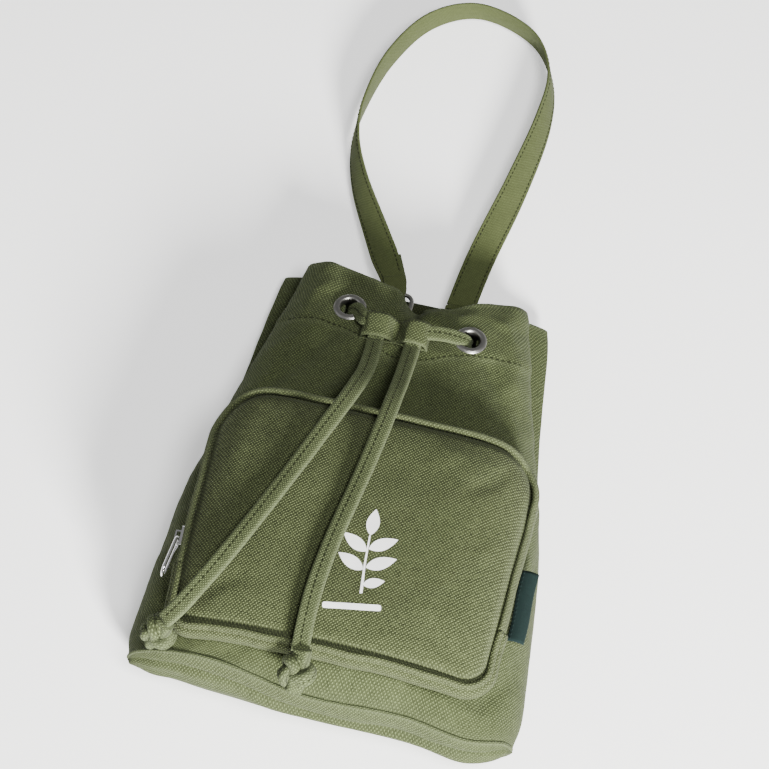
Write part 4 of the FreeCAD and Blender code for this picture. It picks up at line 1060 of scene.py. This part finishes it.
# The strip that humps over both cords, and its flat underside.
ridden(cloth_layer("keeper_strip", keeper_grid[::-1], 1.3, canvas, None, 0.6 * ends[::-1]),
       "cord_keeper", "cord_keeper")
bottom = keeper_grid.copy()
bottom[..., 2] = 42.9
ridden(cloth_layer("keeper_under", bottom[::-1, 4:-4], 1.0, canvas), "cord_keeper")
middle_line = np.array([(x, y, z + 0.25) for x, y, z in keeper_grid[:, 51]])[1:-1]
ridden(stitches("keeper_stitching", middle_line, upright(len(middle_line)), thread_painted_shade, 1.5, 1.7, 0.3,
                0.1, 0.5), "cord_keeper")
for side, cord_x in (("left", -12.0), ("right", 8.0)):
    seat, normal = seat_of(side)
    inward = 1.0 if side == "left" else -1.0
    edge = kx0 if side == "left" else kx1
    y_in = (ky0 + ky1) / 2.0 + 1.5
    top = seat + normal * 0.7
    stops = [top - normal * 4.2 - (0.4 * inward, 0, 0), top - normal * 1.0 + (1.2 * inward, -0.4, 0),
             top + normal * 1.6 + (inward * 4.2, -1.4, 0),
             (mix(top[0], edge, 0.60), mix(top[1], y_in, 0.45), top[2] + (3.9 if side == "left" else 4.6)),
             (edge - inward * 0.5, mix(top[1], y_in, 0.8), 45.0), (cord_x - inward * 4.2, y_in, 45.7)]
    if side == "left":    # the left eyelet is so near the keeper that its lead runs straight in
        del stops[3]
    path = resample(spline_through(stops), 0.8)
    tangents = tangents_of(path)
    across = unit(np.array((0.0, 1.0, 0.0)) - tangents * tangents[:, 1:2])
    ups = np.cross(across, tangents) if side == "left" else np.cross(tangents, across)
    ups = ups * np.sign(ups[len(ups) // 2, 2])
    lead = swept("drawcord_lead_" + side + "_strip", path, across, ups,
                 lambda t: section_flat(mix(6.0, CORD_WIDTH * 0.92, smooth(t * 2.2)), 2.7, 0.4),
                 cord_cloth, cord_wear)
    ridden(lead, "bag", "drawcord_lead_" + side)
    line = path + ups * 1.25
    ridden(stitches("lead_" + side + "_stitching", line[4:-2], ups[4:-2], thread_painted_shade, 2.9, 1.9, 0.33), "bag")
    run = np.array([(cord_x, y_in + 3.6, 45.6), (cord_x, y_in - 2.0, 45.7), (cord_x, 71.6, 45.75)])
    run = resample(run, 1.0)
    _, sides, ups = path_frames(run, (0, 0, 1))
    ridden(swept("drawcord_run_" + side, run, sides, ups,
                 lambda t: section_flat(CORD_WIDTH - 0.2, CORD_THICK - 0.2, 0.4), cord_cloth, cord_wear), "bag")

low, high = box_mm("drawcord_hem_run")
hem_cord_y = (low[1] + high[1]) / 2.0
stops = [(EYELETS["left"][0] - 3, hem_cord_y, 33.0), (-45, hem_cord_y, 30.5), (-56, hem_cord_y, 24),
         (-58.5, hem_cord_y, 15), (-53, hem_cord_y, 7.6), (-40, hem_cord_y, 5.2), (0, hem_cord_y, 5.1),
         (40, hem_cord_y, 5.2), (53, hem_cord_y, 7.6), (58.5, hem_cord_y, 15), (56, hem_cord_y, 24),
         (47, hem_cord_y, 31),
         (EYELETS["right"][0] + 3, hem_cord_y, 33.0)]
path = resample(spline_through(stops), 1.5)
tangents = tangents_of(path)
across = np.tile((0.0, 1.0, 0.0), (len(path), 1))
ridden(swept("drawcord_in_hem", path, across, unit(np.cross(tangents, across)), lambda t: section_flat(8.6, 3.0, 0.3),
             cord_cloth, cord_wear), "bag", "drawcord_hem_run")


# ---------------------------------------------------------------- strap, ring and tab
STRAP_ROUTE = [
    (24.3, 0.6, 10.4, 0.0), (28.5, 34.0, 10.3, 12.0), (38.0, 84.0, 10.5, 35.0),
    (44.0, 130.0, 10.5, 56.0), (41.5, 162.0, 10.0, 79.0), (25.5, 187.0, 9.5, 89.0),
    (-7.0, 198.0, 9.2, 90.0), (-34.0, 184.5, 9.5, 96.0), (-51.0, 154.0, 10.0, 97.0),
    (-58.0, 120.0, 10.5, 89.0), (-57.5, 94.0, 10.5, 76.0), (-48.5, 67.0, 10.8, 58.0),
    (-31.0, 35.0, 12.0, 36.0), (-14.5, 6.5, 13.2, 6.0)]
course = spline_through([(x, MOUTH_Y + beyond, z, turn) for x, beyond, z, turn in STRAP_ROUTE], 14)
course = resample(course * (1, 1, 1, 0.1), 1.6) * (1, 1, 1, 10.0)
strap_path = course[:, :3].copy()
level = np.gradient(strap_path, axis=0)
level[:, 2] = 0.0
level = unit(level)
outward = np.column_stack([level[:, 1], -level[:, 0], 0 * level[:, 0]])
turn = np.radians(course[:, 3:4])
strap_up = np.array((0, 0, 1.0)) * np.cos(turn) + outward * np.sin(turn)
strap_side = outward * np.cos(turn) - np.array((0, 0, 1.0)) * np.sin(turn)
strap_wave = soft_noise(np.arange(len(course)) * 1.6, np.zeros(len(course)), 60.0, 71)


def strap_width(t):
    top = 1.4 * math.exp(-((t - 0.47) / 0.16) ** 2)
    waver = 0.15 * strap_wave[int(round(t * (len(course) - 1)))]
    return mix(STRAP_WIDTH - top, 13.2, smooth((t - 0.955) / 0.045)) + waver


def strap_section(t):
    section = section_flat(strap_width(t), STRAP_THICK, 0.0, 36, 0.3)
    rim = hill(np.abs(section[:, 0]) - strap_width(t) / 2.0 + 1.9, 0.55)
    section[:, 1] -= np.sign(section[:, 1]) * 0.28 * rim
    return section


def strap_wear(section):
    return 0.8 * hill(np.abs(section[:, 0]) - STRAP_WIDTH / 2.0, 0.5)


strap_band = swept("strap_band", strap_path, strap_side, strap_up, strap_section, strap_cloth, strap_wear)
strap_pieces = [strap_band]
for edge, way in (("right", 1.0), ("left", -1.0)):
    half = np.array([strap_width(t) / 2.0 - 1.9 for t in np.linspace(0, 1, len(course))])[:, None]
    line = strap_path + strap_side * way * half + strap_up * 0.72
    strap_pieces.append(stitches("strap_stitching_outer_" + edge, line[3:-3], strap_up[3:-3], thread_painted_shade,
                                 2.9, 2.0, 0.30, 0.1))
for thing in strap_pieces:
    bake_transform(thing)
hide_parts("strap")

# The band's end, folded back round the ring's bar and sewn to itself.
ring_low, ring_high = box_mm("ring")
bar_y, bar_z, ring_x = ring_high[1] - 1.2, (ring_low[2] + ring_high[2]) / 2.0, (ring_low[0] + ring_high[0]) / 2.0
eye_r = 1.2 + 0.35 + 1.1
angles = np.radians(np.linspace(80, 280, 16))
turn_back = [(bar_y + 9.0, bar_z + 2.2), (bar_y + 5.0, bar_z + 2.4)]
turn_back += [(bar_y + eye_r * math.cos(a), bar_z + eye_r * math.sin(a)) for a in angles]
turn_back += [(bar_y + 4.0, bar_z - 1.9), (bar_y + 9.0, bar_z - 1.7), (bar_y + 15.0, bar_z - 1.0),
              (bar_y + 22.0, bar_z - 0.6)]
shift = np.interp([p[0] for p in turn_back], [bar_y, bar_y + 6, bar_y + 25], [0.0, -0.6, -9.6])
path = np.array([(ring_x + s, y, z) for (y, z), s in zip(turn_back, shift)])
path = resample(path, 0.7)
tangents = tangents_of(path)
across = unit(np.array((1.0, 0.0, 0.0)) - tangents * tangents[:, :1])
ups = np.cross(tangents, across)
eye = swept("strap_eye", path, across, ups,
            lambda t: section_flat(mix(12.6, 13.6, smooth((t - 0.4) * 2)), 2.1, 0.0, 28, 0.3),
            strap_cloth, strap_wear)
ridden(eye, "strap")

sewn_low, sewn_high = box_mm("strap_sewn_end")
y = np.linspace(sewn_low[1], sewn_high[1] + 2.4, 22)
path = np.column_stack([np.full(len(y), (sewn_low[0] + sewn_high[0]) / 2.0), y,
                        np.full(len(y), (sewn_low[2] + sewn_high[2]) / 2.0)])
_, sides, ups = path_frames(path, (0, 0, 1))
ridden(swept("strap_end_sewn", path, sides, ups, strap_section, strap_cloth, strap_wear),
       "bag", "strap_sewn_end")
for index, at in enumerate((sewn_high[1] - 1.0, sewn_high[1] - 2.4)):
    line = np.column_stack([np.linspace(path[0, 0] - 7.2, path[0, 0] + 7.2, 20), np.full(20, at),
                            np.full(20, path[0, 2] + 1.15)])
    ridden(stitches("strap_cross_row_%d" % index, line, upright(20), thread_painted_shade, 1.9, 1.5, 0.3, 0.05,
                    0.35 * (-1) ** index), "bag")

tab_low = box_mm("ring_tab")[0]
low_bar = ring_low[1] + 1.2
angles = np.radians(np.linspace(100, -100, 14))
tab_line = [(tab_low[1], bar_z + 1.7), (low_bar - 5.0, bar_z + 1.9)]
tab_line += [(low_bar + 2.3 * math.cos(a), bar_z + 2.3 * math.sin(a)) for a in angles]
tab_line += [(low_bar - 5.0, bar_z - 1.9), (tab_low[1], bar_z - 1.9)]
path = resample(np.array([(ring_x, y, z) for y, z in tab_line]), 0.8)
tangents = tangents_of(path)
across = np.tile((1.0, 0.0, 0.0), (len(path), 1))
ridden(swept("ring_tab_fold", path, across, unit(np.cross(tangents, across)),
             lambda t: section_flat(9.8, 1.3, 0.0, 24, 0.3),
             strap_cloth, cord_wear), "bag", "ring_tab")

for node, material in (("ring", nickel), ("zip_slider", chrome), ("zip_pull", chrome), ("zip_stops", nickel)):
    dress(node, material)


# ---------------------------------------------------------------- floor and light
floor_mesh = bpy.data.meshes.new("floor")
floor_mesh.from_pydata([(-3, -3, 0), (3, -3, 0), (3, 3, 0), (-3, 3, 0)], [], [(0, 1, 2, 3)])
floor = add_object("floor", floor_mesh)
floor.location.z = -0.0006
floor_material, _, _, floor_shader = new_material("floor_pale")
floor_shader.inputs["Base Color"].default_value = (0.95, 0.95, 0.945, 1)
floor_shader.inputs["Roughness"].default_value = 0.9
socket(floor_shader, "Emission Color", "Emission").default_value = (1.0, 1.0, 1.0, 1.0)
floor_shader.inputs["Emission Strength"].default_value = 0.5
floor_mesh.materials.append(floor_material)


def soft_light(name, place, target, size, energy, colour=(1, 1, 1)):
    data = bpy.data.lights.new(name, "AREA")
    data.shape, data.size, data.energy, data.color = "DISK", size, energy, colour
    aimed(name, data, place, target)


soft_light("key", (0.95, -1.50, 0.72), (0, 0.02, 0.02), 0.45, 180.0, (1.0, 0.99, 0.96))
soft_light("top", (0.7, -0.5, 1.8), (0, 0.08, 0), 0.7, 38.0)
soft_light("fill", (-1.3, -0.3, 0.9), (0, 0.05, 0), 1.2, 3.0, (0.96, 0.98, 1.0))
world = bpy.data.worlds.new("studio")
bpy.context.scene.world = world
world.use_nodes = True
background = world.node_tree.nodes["Background"]
background.inputs["Color"].default_value = (1.0, 1.0, 1.0, 1.0)
background.inputs["Strength"].default_value = 0.26
